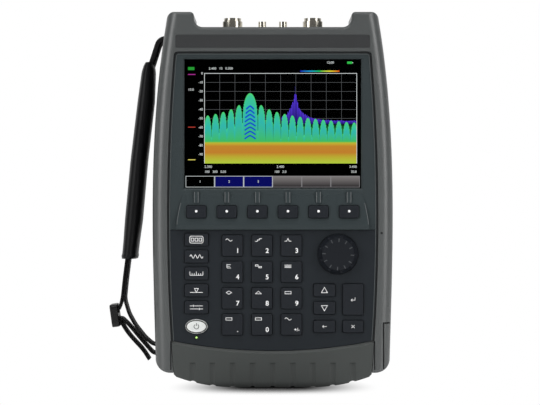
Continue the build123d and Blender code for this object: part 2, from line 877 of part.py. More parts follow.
# Dial knob with a skirt, a tapered grip and nubs for a finger
dial_axis = Axis((dial_x, 0, dial_z), (0, 1, 0))
dial_plane = Plane(origin=(dial_x, 0, dial_z), x_dir=(1, 0, 0), z_dir=(0, 0, 1))
knob_front_y = -back_y
knob_back_y = panel_y + dial_well - dial_gap
with BuildPart() as dial_knob:
    with BuildSketch(dial_plane):
        with BuildLine():
            Polyline(
                (0, knob_back_y),
                (dial_radius, knob_back_y),
                (dial_radius, knob_back_y - dial_skirt),
                (dial_top_radius, knob_front_y),
                (0, knob_front_y),
                close=True,
            )
        make_face()
    revolve(axis=dial_axis)
    with BuildSketch(at_depth(knob_back_y)):
        with Locations((dial_x, dial_z)):
            with PolarLocations(dial_radius - nub_inset, nub_count):
                Circle(nub_radius)
    extrude(amount=knob_back_y - knob_front_y - nub_drop)
    with BuildSketch(at_depth(knob_back_y)):
        with Locations((dial_x, dial_z)):
            Circle(shaft_radius + shaft_fit)
    extrude(amount=shaft_grip, mode=Mode.SUBTRACT)
dial_knob.part.label = "dial_knob"
export_step(dial_knob.part, "parts/dial_knob.step")

# Dial encoder: bush through the panel and the board, body behind the board
encoder_back_y = board_back_y + encoder_depth
shaft_end_y = encoder_back_y - bush_wall
with BuildPart() as dial_encoder:
    with BuildSketch(at_depth(encoder_back_y)):
        with Locations((dial_x, dial_z)):
            Rectangle(encoder_width, encoder_width)
    extrude(amount=encoder_depth)
    with BuildSketch(at_depth(board_back_y)):
        with Locations((dial_x, dial_z)):
            Circle(bush_radius)
    extrude(amount=board_back_y - panel_y - dial_well)
    with BuildSketch(at_depth(shaft_end_y)):
        with Locations((dial_x, dial_z)):
            Circle(shaft_radius + shaft_fit)
    extrude(amount=shaft_end_y - panel_y, mode=Mode.SUBTRACT)
dial_encoder.part.label = "dial_encoder"
export_step(dial_encoder.part, "parts/dial_encoder.step")

# Dial shaft from the encoder into the knob
shaft_front_y = knob_back_y - shaft_grip
with BuildPart() as dial_shaft:
    with BuildSketch(at_depth(shaft_end_y)):
        with Locations((dial_x, dial_z)):
            Circle(shaft_radius)
    extrude(amount=shaft_end_y - shaft_front_y)
dial_shaft.part.label = "dial_shaft"
export_step(dial_shaft.part, "parts/dial_shaft.step")

# Bumper: front apron under the keypad panel and a foot under the case
bumper_back_y = back_y - bumper_back_inset
flute_places = [(index - (flute_count - 1) / 2) * flute_pitch for index in range(flute_count)]
apron_half_width = case_half_width(case_foot_z) - rim_foot_width - groove
with BuildPart() as bottom_bumper:
    extrude(opening_contour(at_depth(panel_back_y), groove), amount=panel_back_y - rim_y)
    extrude(
        below_bumper_arc(at_depth(panel_back_y), 0),
        amount=panel_back_y - rim_y,
        mode=Mode.INTERSECT,
    )
    chamfer(bottom_bumper.faces().sort_by(Axis.Y)[0].edges().sort_by(Axis.Z)[-1], bumper_bevel)
    with Locations((0, rim_y, 0)):
        Box(
            2 * apron_half_width,
            bumper_back_y - rim_y,
            case_foot_z,
            align=(Align.CENTER, Align.MIN, Align.MIN),
        )
    with BuildSketch(at_depth(bumper_back_y + overrun)):
        with BuildLine():
            Line((bumper_foot_half, 0), (0, 0))
            TangentArc((bumper_foot_half, 0), (bumper_half_width, bumper_corner_z), tangent=(1, 0))
            Polyline(
                (bumper_half_width, bumper_corner_z),
                (case_half, bumper_corner_z + (case_half - bumper_half_width)),
                (case_half, case_half),
                (0, case_half),
            )
            mirror(about=Plane.YZ)
        make_face()
    extrude(amount=bumper_back_y - rim_y + 2 * overrun, mode=Mode.INTERSECT)
    with BuildSketch(Plane.XY):
        with Locations([(x, rim_y - flute_radius + flute_depth) for x in flute_places]):
            Circle(flute_radius)
    extrude(amount=flute_top_z, mode=Mode.SUBTRACT)
    with BuildSketch(at_depth(rim_y + flute_run)):
        for flute_x in flute_places:
            side_x = max(abs(flute_x) - bumper_foot_half, 0) / (bumper_half_width - bumper_foot_half)
            with Locations((flute_x, bumper_corner_z * side_x ** 2 - flute_radius + flute_depth)):
                Circle(flute_radius)
    extrude(amount=flute_run + overrun, mode=Mode.SUBTRACT)
bottom_bumper.part.label = "bottom_bumper"
export_step(bottom_bumper.part, "parts/bottom_bumper.step")

# Connector plate on the deck
with BuildPart() as connector_plate:
    with BuildSketch(Plane.XY.offset(deck_z)):
        with Locations((0, port_y)):
            RectangleRounded(2 * plate_half_width, plate_depth, deck_round)
        with Locations(rf_port_places):
            Circle(rf_stem_radius + stem_clearance, mode=Mode.SUBTRACT)
        with Locations(trigger_port_places):
            Circle(trigger_stem_radius + stem_clearance, mode=Mode.SUBTRACT)
    extrude(amount=plate_thickness)
connector_plate.part.label = "connector_plate"
export_step(connector_plate.part, "parts/connector_plate.step")

# Large radio ports: stem down to the module, nut, threaded barrel and open mouth
plate_top_z = deck_z + plate_thickness
module_top_z = cavity_top_z - module_top_gap
rf_thread_top_z = plate_top_z + rf_nut_height + rf_thread_length
rf_bore_floor_z = rf_port_top_z - rf_bore_depth
with BuildPart() as rf_port_shells:
    with BuildSketch(Plane.XY.offset(module_top_z)):
        with Locations(rf_port_places):
            Circle(rf_stem_radius)
    extrude(amount=plate_top_z - module_top_z)
    with BuildSketch(Plane.XY.offset(plate_top_z)):
        with Locations(rf_port_places):
            RegularPolygon(rf_nut_across / 2, 6, major_radius=False)
    extrude(amount=rf_nut_height)
    with BuildSketch(Plane.XY.offset(plate_top_z + rf_nut_height)):
        with Locations(rf_port_places):
            Circle(rf_thread_radius)
    extrude(amount=rf_thread_length)
    with BuildSketch(Plane.XY.offset(rf_thread_top_z)):
        with Locations(rf_port_places):
            Circle(rf_mouth_radius)
    extrude(amount=rf_port_top_z - rf_thread_top_z)
    with BuildSketch(Plane.XY.offset(rf_bore_floor_z)):
        with Locations(rf_port_places):
            Circle(rf_bore_radius)
    extrude(amount=rf_bore_depth, mode=Mode.SUBTRACT)
rf_port_shells.part.label = "rf_port_shells"
export_step(rf_port_shells.part, "parts/rf_port_shells.step")

# Centre contacts that stand in the large ports
with BuildPart() as rf_port_contacts:
    with BuildSketch(Plane.XY.offset(rf_bore_floor_z)):
        with Locations(rf_port_places):
            Circle(rf_contact_radius)
    extrude(amount=rf_bore_depth - rf_contact_drop)
rf_port_contacts.part.label = "rf_port_contacts"
export_step(rf_port_contacts.part, "parts/rf_port_contacts.step")

# Small trigger ports, each with its pin left standing in the mouth
with BuildPart() as trigger_ports:
    with BuildSketch(Plane.XY.offset(module_top_z)):
        with Locations(trigger_port_places):
            Circle(trigger_stem_radius)
    extrude(amount=plate_top_z - module_top_z)
    with BuildSketch(Plane.XY.offset(plate_top_z)):
        with Locations(trigger_port_places):
            RegularPolygon(trigger_nut_across / 2, 6, major_radius=False)
    extrude(amount=trigger_nut_height)
    with BuildSketch(Plane.XY.offset(plate_top_z + trigger_nut_height)):
        with Locations(trigger_port_places):
            Circle(trigger_radius)
    extrude(amount=trigger_top_z - plate_top_z - trigger_nut_height)
    with BuildSketch(Plane.XY.offset(trigger_top_z - trigger_bore_depth)):
        with Locations(trigger_port_places):
            Circle(trigger_bore_radius)
            Circle(trigger_pin_radius, mode=Mode.SUBTRACT)
    extrude(amount=trigger_bore_depth, mode=Mode.SUBTRACT)
trigger_ports.part.label = "trigger_ports"
export_step(trigger_ports.part, "parts/trigger_ports.step")

# Main board on the rear housing's posts
with BuildPart() as main_board:
    with BuildSketch(at_depth(main_board_back_y)):
        with Locations((0, (main_board_foot_z + main_board_top_z) / 2)):
            Rectangle(2 * main_board_half_width, main_board_top_z - main_board_foot_z)
    extrude(amount=board_thickness)
main_board.part.label = "main_board"
export_step(main_board.part, "parts/main_board.step")

# Radio module on the back of the main board, under the ports
with BuildPart() as radio_module:
    with Locations((0, main_board_back_y, module_foot_z)):
        Box(
            2 * module_half_width,
            module_depth,
            module_top_z - module_foot_z,
            align=(Align.CENTER, Align.MIN, Align.MIN),
        )
radio_module.part.label = "radio_module"
export_step(radio_module.part, "parts/radio_module.step")

# Battery pack on the floor of the case
with BuildPart() as battery_pack:
    with Locations((battery_end_x, battery_front_y, cavity_floor_z)):
        Box(
            battery_length,
            battery_depth,
            battery_height,
            align=(Align.MAX, Align.MIN, Align.MIN),
        )
    fillet(battery_pack.edges().filter_by(Axis.X), battery_round)
battery_pack.part.label = "battery_pack"
export_step(battery_pack.part, "parts/battery_pack.step")

# Battery door: the lower right corner of the case with two guide tongues
battery_door_inner_x = battery_door_seam_x + door_gap
battery_door_height = battery_door_top_z - door_gap
tongue_front_y = panel_back_y + slide_clearance
tongue_back_y = cavity_back_y - cavity_round / 2 - tongue_thickness
with BuildPart() as battery_door:
    loft(case_sections(case_foot_z, case_height, 0, edge_round))
    add(contour_block.part, mode=Mode.INTERSECT)
    with Locations((battery_door_inner_x, 0, 0)):
        Box(
            case_half,
            case_width,
            battery_door_height,
            align=(Align.MIN, Align.CENTER, Align.MIN),
            mode=Mode.INTERSECT,
        )
    with Locations(
        (battery_door_inner_x, tongue_front_y, tongue_foot_z),
        (battery_door_inner_x, tongue_back_y, tongue_foot_z),
    ):
        Box(
            tongue_length,
            tongue_thickness,
            tongue_height,
            align=(Align.MAX, Align.MIN, Align.MIN),
        )
battery_door.part.label = "battery_door"
export_step(battery_door.part, "parts/battery_door.step")

# Port door: it follows the bowed side, stands a little proud and turns on two pins
port_door_front_y = port_bay_front_y + slide_clearance
port_door_width = port_bay_depth - 2 * slide_clearance
with BuildPart() as port_door:
    loft(case_sections(case_foot_z, case_height, -port_door_proud, edge_round))
    with Locations((port_door_inner_x, port_door_front_y, port_axis_z)):
        Box(
            case_half,
            port_door_width,
            port_bay_top_z - slide_clearance - port_axis_z,
            align=(Align.MIN, Align.MIN, Align.MIN),
            mode=Mode.INTERSECT,
        )
    with BuildSketch(at_depth(port_door_front_y)):
        with Locations((port_axis_x, port_axis_z)):
            Circle(port_knuckle_radius)
    extrude(amount=-port_door_width)
    with BuildSketch(at_depth(port_door_front_y - overrun)):
        with Locations((port_axis_x, port_axis_z)):
            Circle(port_pin_radius + pin_fit)
    extrude(amount=-(port_door_width + 2 * overrun), mode=Mode.SUBTRACT)
port_door.part.label = "port_door"
export_step(port_door.part, "parts/port_door.step")

# Sockets in the side port bay
socket_front_x = port_bay_floor_x + socket_proud
with BuildPart() as port_sockets:
    for socket_z, socket_size, cavity_size in sockets:
        with BuildSketch(Plane.YZ.offset(socket_front_x)):
            with Locations((port_bay_middle_y, socket_z)):
                Rectangle(socket_size[0], socket_size[1])
        extrude(amount=-socket_depth)
    for socket_z, socket_size, cavity_size in sockets:
        with BuildSketch(Plane.YZ.offset(socket_front_x)):
            with Locations((port_bay_middle_y, socket_z)):
                Rectangle(cavity_size[0], cavity_size[1])
        extrude(amount=-socket_cavity_depth, mode=Mode.SUBTRACT)
port_sockets.part.label = "port_sockets"
export_step(port_sockets.part, "parts/port_sockets.step")

# Tilt stand: a U-shaped leg that folds into the back
stand_window_width = stand_width - 2 * stand_arm_width
stand_window_top_z = stand_axis_z + stand_thickness
stand_window_foot_z = stand_foot_z + stand_bar_height
with BuildPart() as tilt_stand:
    with BuildSketch(at_depth(stand_axis_y + stand_thickness / 2)):
        with Locations((0, stand_foot_z)):
            Rectangle(
                stand_width, stand_axis_z - stand_foot_z, align=(Align.CENTER, Align.MIN)
            )
    extrude(amount=stand_thickness)
    with BuildSketch(Plane.YZ.offset(-stand_width / 2)):
        with Locations((stand_axis_y, stand_axis_z)):
            Circle(stand_thickness / 2)
    extrude(amount=stand_width)
    with BuildSketch(at_depth(back_y + overrun)):
        with Locations((0, stand_window_foot_z)):
            Rectangle(
                stand_window_width,
                stand_window_top_z - stand_window_foot_z,
                align=(Align.CENTER, Align.MIN),
            )
    extrude(amount=stand_bay_depth + 2 * overrun, mode=Mode.SUBTRACT)
    stand_corners = tilt_stand.edges().filter_by(Axis.Y).group_by(Axis.Z)[0]
    fillet(stand_corners, stand_round)
    with BuildSketch(Plane.YZ.offset(-stand_width / 2 - overrun)):
        with Locations((stand_axis_y, stand_axis_z)):
            Circle(stand_pin_radius + pin_fit)
    extrude(amount=stand_width + 2 * overrun, mode=Mode.SUBTRACT)
tilt_stand.part.label = "tilt_stand"
export_step(tilt_stand.part, "parts/tilt_stand.step")

# Hinge pins of the port door and the tilt stand, seated in the rear housing
stand_pin_end_x = stand_bay_width / 2 + pin_seat
stand_pin_length = pin_seat + stand_bay_clearance + stand_arm_width
with BuildPart() as hinge_pins:
    with BuildSketch(at_depth(port_bay_front_y - pin_seat)):
        with Locations((port_axis_x, port_axis_z)):
            Circle(port_pin_radius)
    extrude(amount=-(pin_seat + pin_reach))
    with BuildSketch(at_depth(port_bay_back_y + pin_seat)):
        with Locations((port_axis_x, port_axis_z)):
            Circle(port_pin_radius)
    extrude(amount=pin_seat + pin_reach)
    with BuildSketch(Plane.YZ.offset(stand_pin_end_x)):
        with Locations((stand_axis_y, stand_axis_z)):
            Circle(stand_pin_radius)
    extrude(amount=-stand_pin_length)
    with BuildSketch(Plane.YZ.offset(-stand_pin_end_x)):
        with Locations((stand_axis_y, stand_axis_z)):
            Circle(stand_pin_radius)
    extrude(amount=stand_pin_length)
hinge_pins.part.label = "hinge_pins"
export_step(hinge_pins.part, "parts/hinge_pins.step")

# Case screws with sunk socket heads
with BuildPart() as case_screws:
    with BuildSketch(at_depth(screw_seat_y)):
        with Locations(screw_places):
            Circle(screw_radius)
    extrude(amount=screw_seat_y - parting_y + screw_reach)
    with BuildSketch(at_depth(screw_seat_y + screw_head_height)):
        with Locations(screw_places):
            Circle(screw_head_radius)
    extrude(amount=screw_head_height)
    with BuildSketch(at_depth(screw_seat_y + screw_head_height)):
        with Locations(screw_places):
            RegularPolygon(screw_socket_across / 2, 6, major_radius=False)
    extrude(amount=screw_socket_depth, mode=Mode.SUBTRACT)
case_screws.part.label = "case_screws"
export_step(case_screws.part, "parts/case_screws.step")

# Places along the hand strap, from its top slot downwards
strap_drop = strap_top_z - strap_low_z


def strap_point(out_share, drop_share):
    """Point of the strap in front view, outside the left side of the case."""
    return (-case_half - out_share * strap_reach, strap_top_z - drop_share * strap_drop)


# Each sleeve section: share of the drop, share of the reach, share of the thickness
sleeve_shares = (
    (0.079, 0.195, 0.53),
    (0.109, 0.235, 0.76),
    (0.204, 0.335, 0.93),
    (0.397, 0.61, 0.95),
    (0.591, 0.825, 1.0),
    (0.686, 0.95, 0.9),
    (0.717, 0.99, 0.95),
)
sleeve_top_share = sleeve_shares[0]

# Padded sleeve that the hand lies against
sleeve_sections = []
for drop_share, out_share, thickness_share in sleeve_shares:
    sleeve_x, sleeve_z = strap_point(out_share, drop_share)
    section_thickness = thickness_share * sleeve_thickness
    with BuildSketch(Plane.XY.offset(sleeve_z)) as sleeve_section:
        with Locations((sleeve_x, strap_y)):
            RectangleRounded(section_thickness, sleeve_width, sleeve_corner_share * section_thickness)
    sleeve_sections.append(sleeve_section.sketch)
with BuildPart() as strap_sleeve:
    loft(sleeve_sections)
strap_sleeve.part.label = "strap_sleeve"
export_step(strap_sleeve.part, "parts/strap_sleeve.step")

# Upper webbing, sewn double, from the horn's slot to the sleeve
upper_end_x, upper_end_z = strap_point(sleeve_top_share[1], sleeve_top_share[0])
with BuildPart() as strap_upper:
    with BuildSketch(at_depth(strap_y)):
        with BuildLine():
            FilletPolyline(
                (strap_slot_depth - strap_clearance - strap_top_x, strap_top_z),
                (-strap_top_x - strap_top_thickness, strap_top_z),
                (upper_end_x, upper_end_z + strap_top_thickness / 3),
                radius=2 * strap_slot_bend,
            )
        trace(line_width=strap_top_thickness)
    extrude(amount=strap_width / 2, both=True)
strap_upper.part.label = "strap_upper"
export_step(strap_upper.part, "parts/strap_upper.step")

# Slider buckle that locks the lower webbing
slider_share = (1.56, 0.9035)
slider_x, slider_z = strap_point(slider_share[0], slider_share[1])
slider_lean = math.radians(slider_tilt)
slider_plane = Plane(
    origin=(slider_x, strap_y, slider_z),
    x_dir=(0, 1, 0),
    z_dir=(math.cos(slider_lean), 0, math.sin(slider_lean)),
)
window_offset = (slider_bar + slider_window) / 2
with BuildPart() as strap_slider:
    with BuildSketch(slider_plane):
        RectangleRounded(slider_width, slider_length, slider_bar)
        with Locations((0, window_offset), (0, -window_offset)):
            Rectangle(strap_width + 2 * strap_clearance, slider_window, mode=Mode.SUBTRACT)
    extrude(amount=slider_thickness / 2, both=True)
strap_slider.part.label = "strap_slider"
export_step(strap_slider.part, "parts/strap_slider.step")

# Lower webbing: run to the case, loop through its two slots and back to the slider; then the tail
run_shares = ((0.985, 0.7215), (1.1, 0.785), (1.18, 0.851), (1.015, 0.897), (0.76, 0.9353), (0.355, 0.9773))
return_shares = ((0.56, 0.9785), (1.02, 0.931), (1.305, 0.905))
tail_shares = ((1.3, 0.9215), (1.1, 0.956), (0.825, 0.983), (0.45, 1.0155), (0.2, 1.048))
link_shares = ((1.22, 0.868), (1.37, 0.888))
slot_lead_x = -strap_low_x - strap_lead
loop_x = strap_loop_depth - strap_low_x
run_points = [strap_point(out_share, drop_share) for out_share, drop_share in run_shares]
return_points = [strap_point(out_share, drop_share) for out_share, drop_share in return_shares]
slot_points = [
    (slot_lead_x, strap_low_z),
    (loop_x, strap_low_z),
    (loop_x, strap_return_z),
    (slot_lead_x, strap_return_z),
]
run_bends = [strap_bend] * (len(run_points) - 1)
slot_bends = [strap_slot_bend, strap_turn, strap_turn, strap_slot_bend]
return_bends = [strap_bend] * (len(return_points) - 1)
with BuildPart() as strap_lower:
    with BuildSketch(at_depth(strap_y)):
        with BuildLine():
            FilletPolyline(
                *run_points, *slot_points, *return_points, radius=run_bends + slot_bends + return_bends
            )
        trace(line_width=strap_thickness)
        with BuildLine():
            FilletPolyline(
                *[strap_point(out_share, drop_share) for out_share, drop_share in tail_shares],
                radius=strap_bend,
            )
        trace(line_width=strap_thickness)
        with BuildLine():
            Line(*[strap_point(out_share, drop_share) for out_share, drop_share in link_shares])
        trace(line_width=strap_thickness)
    extrude(amount=strap_width / 2, both=True)
strap_lower.part.label = "strap_lower"
export_step(strap_lower.part, "parts/strap_lower.step")
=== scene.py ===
"""Finishes, lit display, key legends and hand strap of a handheld microwave analyzer."""

import json
import math
import random

import bpy
from bpy.props import FloatProperty, FloatVectorProperty, PointerProperty
from mathutils import Matrix, Vector


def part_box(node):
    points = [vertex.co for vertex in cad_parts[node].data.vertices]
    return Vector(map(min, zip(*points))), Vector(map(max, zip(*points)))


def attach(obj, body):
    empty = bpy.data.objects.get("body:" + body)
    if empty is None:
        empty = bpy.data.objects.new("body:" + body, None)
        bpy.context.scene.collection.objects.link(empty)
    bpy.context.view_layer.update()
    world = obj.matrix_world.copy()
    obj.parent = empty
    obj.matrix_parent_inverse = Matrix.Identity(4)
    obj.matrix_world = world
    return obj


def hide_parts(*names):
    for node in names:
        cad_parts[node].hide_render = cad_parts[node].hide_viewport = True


bl_info = {
    "name": "Handheld microwave analyzer",
    "version": (1, 0, 0),
    "blender": (4, 5, 0),
    "location": "View3D > Sidebar > Analyzer",
    "description": "Dresses the analyzer's packed frame: finishes, display, legends, hand strap and stage",
    "category": "Object",
}

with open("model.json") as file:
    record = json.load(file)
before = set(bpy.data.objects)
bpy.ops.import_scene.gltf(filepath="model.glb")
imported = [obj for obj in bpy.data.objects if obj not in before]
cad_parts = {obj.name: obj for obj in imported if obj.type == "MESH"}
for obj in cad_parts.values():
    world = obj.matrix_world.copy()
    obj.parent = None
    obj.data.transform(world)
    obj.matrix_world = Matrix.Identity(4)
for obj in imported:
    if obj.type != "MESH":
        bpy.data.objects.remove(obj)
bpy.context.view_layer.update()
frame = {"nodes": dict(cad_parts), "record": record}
MM = 0.001
SOFTKEYS = [f"softkey_{index}" for index in range(1, 7)]
DIGIT_KEYS = [f"digit_{index}_key" for index in range(10)]
LEFT_KEYS = ["mode_key", "frequency_key", "scale_key", "marker_key", "tools_key"]
RIGHT_KEYS = ["up_key", "down_key", "back_key", "enter_key", "escape_key"]


def tint(label, words, value):
    """Colour property, written as it looks on a display."""
    return FloatVectorProperty(
        name=label, description=words, subtype="COLOR_GAMMA", size=3, min=0.0, max=1.0, default=value
    )


def length(label, words, millimetres):
    """Length property with a default in millimetres."""
    return FloatProperty(name=label, description=words, unit="LENGTH", min=0.0, default=millimetres * MM)


def number(label, words, value):
    """Plain number property."""
    return FloatProperty(name=label, description=words, min=0.0, default=value)


class AnalyzerColors(bpy.types.PropertyGroup):
    """Colours of the analyzer's finishes."""

    case_skin: tint("Case skin", "Grey rubber over the housings", (0.288, 0.300, 0.300))
    bumper: tint("Bumper", "Rubber of the foot", (0.274, 0.287, 0.282))
    bezel: tint("Bezel", "Plastic round the display", (0.205, 0.236, 0.244))
    keypad: tint("Keypad", "Plastic under the keys", (0.136, 0.154, 0.172))
    keys: tint("Keys", "Silicone of the keys", (0.122, 0.136, 0.157))
    knob: tint("Knob", "Plastic of the dial", (0.098, 0.11, 0.132))
    nameplate: tint("Nameplate", "Bare strip on the top bar", (0.215, 0.219, 0.223))
    legend: tint("Legend", "Print on the keys", (1.0, 1.0, 1.0))
    webbing: tint("Webbing", "Woven nylon of the strap", (0.075, 0.075, 0.08))
    sleeve: tint("Sleeve", "Skin of the padded sleeve", (0.055, 0.056, 0.062))
    nickel: tint("Nickel", "Plating of the large ports", (0.83, 0.81, 0.76))
    lamp: tint("Lamp", "Lit power lamp", (0.66, 0.86, 0.45))


class AnalyzerSizes(bpy.types.PropertyGroup):
    """Sizes of the pieces made here."""

    print_thickness: length("Print thickness", "Thickness of a legend", 0.08)
    stroke: length("Stroke", "Width of a drawn line on a key", 0.42)
    numeral: length("Numeral", "Height of the digits' letters", 3.7)
    dot: length("Dot", "Radius of the softkeys' dot", 1.0)
    webbing_thickness: length("Webbing thickness", "One layer of the strap", 1.8)
    seam: length("Seam", "Height of the sleeve's sewn edge", 0.9)


class AnalyzerStage(bpy.types.PropertyGroup):
    """Camera and light."""

    camera_distance: length("Camera distance", "From the case's front to the camera", 1600)
    focal_length: number("Focal length", "Millimetres, on a 36 mm wide sensor", 137.0)
    sky: number("Sky", "Strength of the even light", 0.21)
    front_glow: number("Front glow", "Room seen by mirrors in front", 0.1)
    side_light: number("Side light", "Watts of each side softbox", 8.5)
    top_light: number("Top light", "Watts of the top softbox", 9.0)


def linear(color):
    """Linear RGBA of a colour written as it looks on a display."""
    return [c / 12.92 if c <= 0.04045 else ((c + 0.055) / 1.055) ** 2.4 for c in color] + [1.0]


def colors():
    """The scene's colour settings."""
    return bpy.context.scene.analyzer_colors


def sizes():
    """The scene's size settings."""
    return bpy.context.scene.analyzer_sizes


def feed(tree, made, inputs):
    """Gives each named input of a node a value, or the socket that feeds it."""
    for name, value in inputs.items():
        if isinstance(value, bpy.types.NodeSocket):
            tree.links.new(value, made.inputs[name])
        else:
            made.inputs[name].default_value = value


def shader_node(tree, kind, inputs=None, **settings):
    """New shader node with its settings and inputs."""
    made = tree.nodes.new(f"ShaderNode{kind}")
    for name, value in settings.items():
        setattr(made, name, value)
    feed(tree, made, inputs or {})
    return made


def math_node(tree, operation, *values):
    """Result of a sum on numbers or sockets."""
    return shader_node(tree, "Math", dict(enumerate(values)), operation=operation).outputs[0]


def scaled(tree, color, share):
    """Colour socket multiplied by a share."""
    return shader_node(tree, "VectorMath", {0: color, "Scale": share}, operation="SCALE").outputs["Vector"]


def empty_group(name, takes):
    """New node group that takes a colour and numbers, and gives a colour and a height."""
    group = bpy.data.node_groups.new(name, "ShaderNodeTree")
    for side, labels in (("INPUT", takes), ("OUTPUT", ("Color", "Height"))):
        for label in labels:
            kind = "NodeSocketColor" if label == "Color" else "NodeSocketFloat"
            group.interface.new_socket(label, in_out=side, socket_type=kind)
    return group, group.nodes.new("NodeGroupInput").outputs, group.nodes.new("NodeGroupOutput")


def grain_group():
    """Node group: fine grain that varies a colour and gives a bump height."""
    name = "Fine grain"
    if name in bpy.data.node_groups:
        return bpy.data.node_groups[name]
    group, given, result = empty_group(name, ("Color", "Scale", "Variation"))
    place = shader_node(group, "TexCoord").outputs["Object"]
    speckle = {"Vector": place, "Scale": given["Scale"], "Detail": 3.0}
    noise = shader_node(group, "TexNoise", speckle).outputs["Fac"]
    centred = math_node(group, "SUBTRACT", noise, 0.5)
    swing = math_node(group, "MULTIPLY_ADD", centred, given["Variation"], 1.0)
    feed(group, result, {"Color": scaled(group, given["Color"], swing), "Height": noise})
    return group


def weave_group():
    """Node group: threads crossing along the strap's width and length."""
    name = "Weave"
    if name in bpy.data.node_groups:
        return bpy.data.node_groups[name]
    group, given, result = empty_group(name, ("Color", "Thread"))
    place = shader_node(group, "TexCoord").outputs["Object"]
    threads = {"Vector": place, "Scale": given["Thread"]}
    waves = [shader_node(group, "TexWave", threads, bands_direction=way).outputs["Fac"] for way in ("Y", "Z")]
    height = math_node(group, "MULTIPLY", *waves)
    swing = math_node(group, "MULTIPLY_ADD", height, 0.6, 0.7)
    feed(group, result, {"Color": scaled(group, given["Color"], swing), "Height": height})
    return group


def new_material(name):
    """Empty node material, its node tree and its Principled shader."""
    material = bpy.data.materials.new(name)
    material.use_nodes = True
    return material, material.node_tree, material.node_tree.nodes["Principled BSDF"]


def plain(name, finish):
    """Material with an even finish."""
    material, tree, shader = new_material(name)
    feed(tree, shader, finish)
    return material


def textured(name, group, given, bump, depth, finish):
    """Material with a node group in its colour and bump."""
    material, tree, shader = new_material(name)
    texture = shader_node(tree, "Group", given, node_tree=group).outputs
    relief = shader_node(tree, "Bump", {"Strength": bump, "Distance": depth, "Height": texture["Height"]})
    feed(tree, shader, {"Base Color": texture["Color"], "Normal": relief.outputs["Normal"], **finish})
    return material


def grained(name, color, roughness, scale=900.0, variation=0.12, bump=0.05, metallic=0.0, gloss=0.3):
    """Material with the fine grain group in its colour and bump."""
    given = {"Color": linear(color), "Scale": scale, "Variation": variation}
    mirror = 0.5 if metallic else gloss
    finish = {"Roughness": roughness, "Metallic": metallic, "Specular IOR Level": mirror}
    return textured(name, grain_group(), given, bump, 0.2 * MM, finish)


def woven(name, color, thread):
    """Webbing material with the weave group in its colour and bump."""
    given = {"Color": linear(color), "Thread": thread}
    finish = {"Roughness": 0.7, "Specular IOR Level": 0.2}
    return textured(name, weave_group(), given, 0.5, 0.3 * MM, finish)


def hollowed(material, reach, strength):
    """The material with painted shade: its colour darker in hollows that are narrower than the reach."""
    tree = material.node_tree
    shader = tree.nodes["Principled BSDF"]
    source = shader.inputs["Base Color"].links[0].from_socket
    hollow = shader_node(tree, "AmbientOcclusion", {"Distance": reach}).outputs["AO"]
    feed(tree, shader, {"Base Color": scaled(tree, source, math_node(tree, "POWER", hollow, strength))})
    return material


def glowing(name):
    """Lit material that takes its colour from the mesh's colour attribute."""
    material, tree, shader = new_material(name)
    ink = shader_node(tree, "VertexColor", layer_name="Ink").outputs["Color"]
    dark = {"Base Color": linear((0.0, 0.0, 0.0)), "Specular IOR Level": 0.0}
    feed(tree, shader, {**dark, "Emission Color": ink, "Emission Strength": 1.0})
    return material


def paint(material, *names):
    """Gives the CAD nodes this material."""
    for name in names:
        mesh = frame["nodes"][name].data
        mesh.materials.clear()
        mesh.materials.append(material)


def body_of_node(node):
    """Name of the body that a CAD node belongs to."""
    for body, nodes in frame["record"]["behaviour"]["bodies"].items():
        if node in nodes:
            return body
    raise RuntimeError(f"no body holds {node}")


def placed(name, data):
    """New object in the scene with this mesh, curve, lamp or camera."""
    made = bpy.data.objects.new(name, data)
    bpy.context.scene.collection.objects.link(made)
    return made


def mesh_object(name, vertices, faces, material, smooth=False):
    """New mesh object in the scene."""
    mesh = bpy.data.meshes.new(name)
    mesh.from_pydata(vertices, [], faces)
    mesh.validate()
    mesh.polygons.foreach_set("use_smooth", [smooth] * len(mesh.polygons))
    mesh.materials.append(material)
    return placed(name, mesh)


def tube(start, rings, count, closed=False):
    """Faces that join rings of count corners each, with both ends capped unless the tube is closed."""
    faces = []
    for ring in range(rings if closed else rings - 1):
        a, b = start + ring * count, start + (ring + 1) % rings * count
        faces += [[a + k, a + (k + 1) % count, b + (k + 1) % count, b + k] for k in range(count)]
    if not closed:
        last = start + (rings - 1) * count
        faces += [[start + k for k in reversed(range(count))], [last + k for k in range(count)]]
    return faces


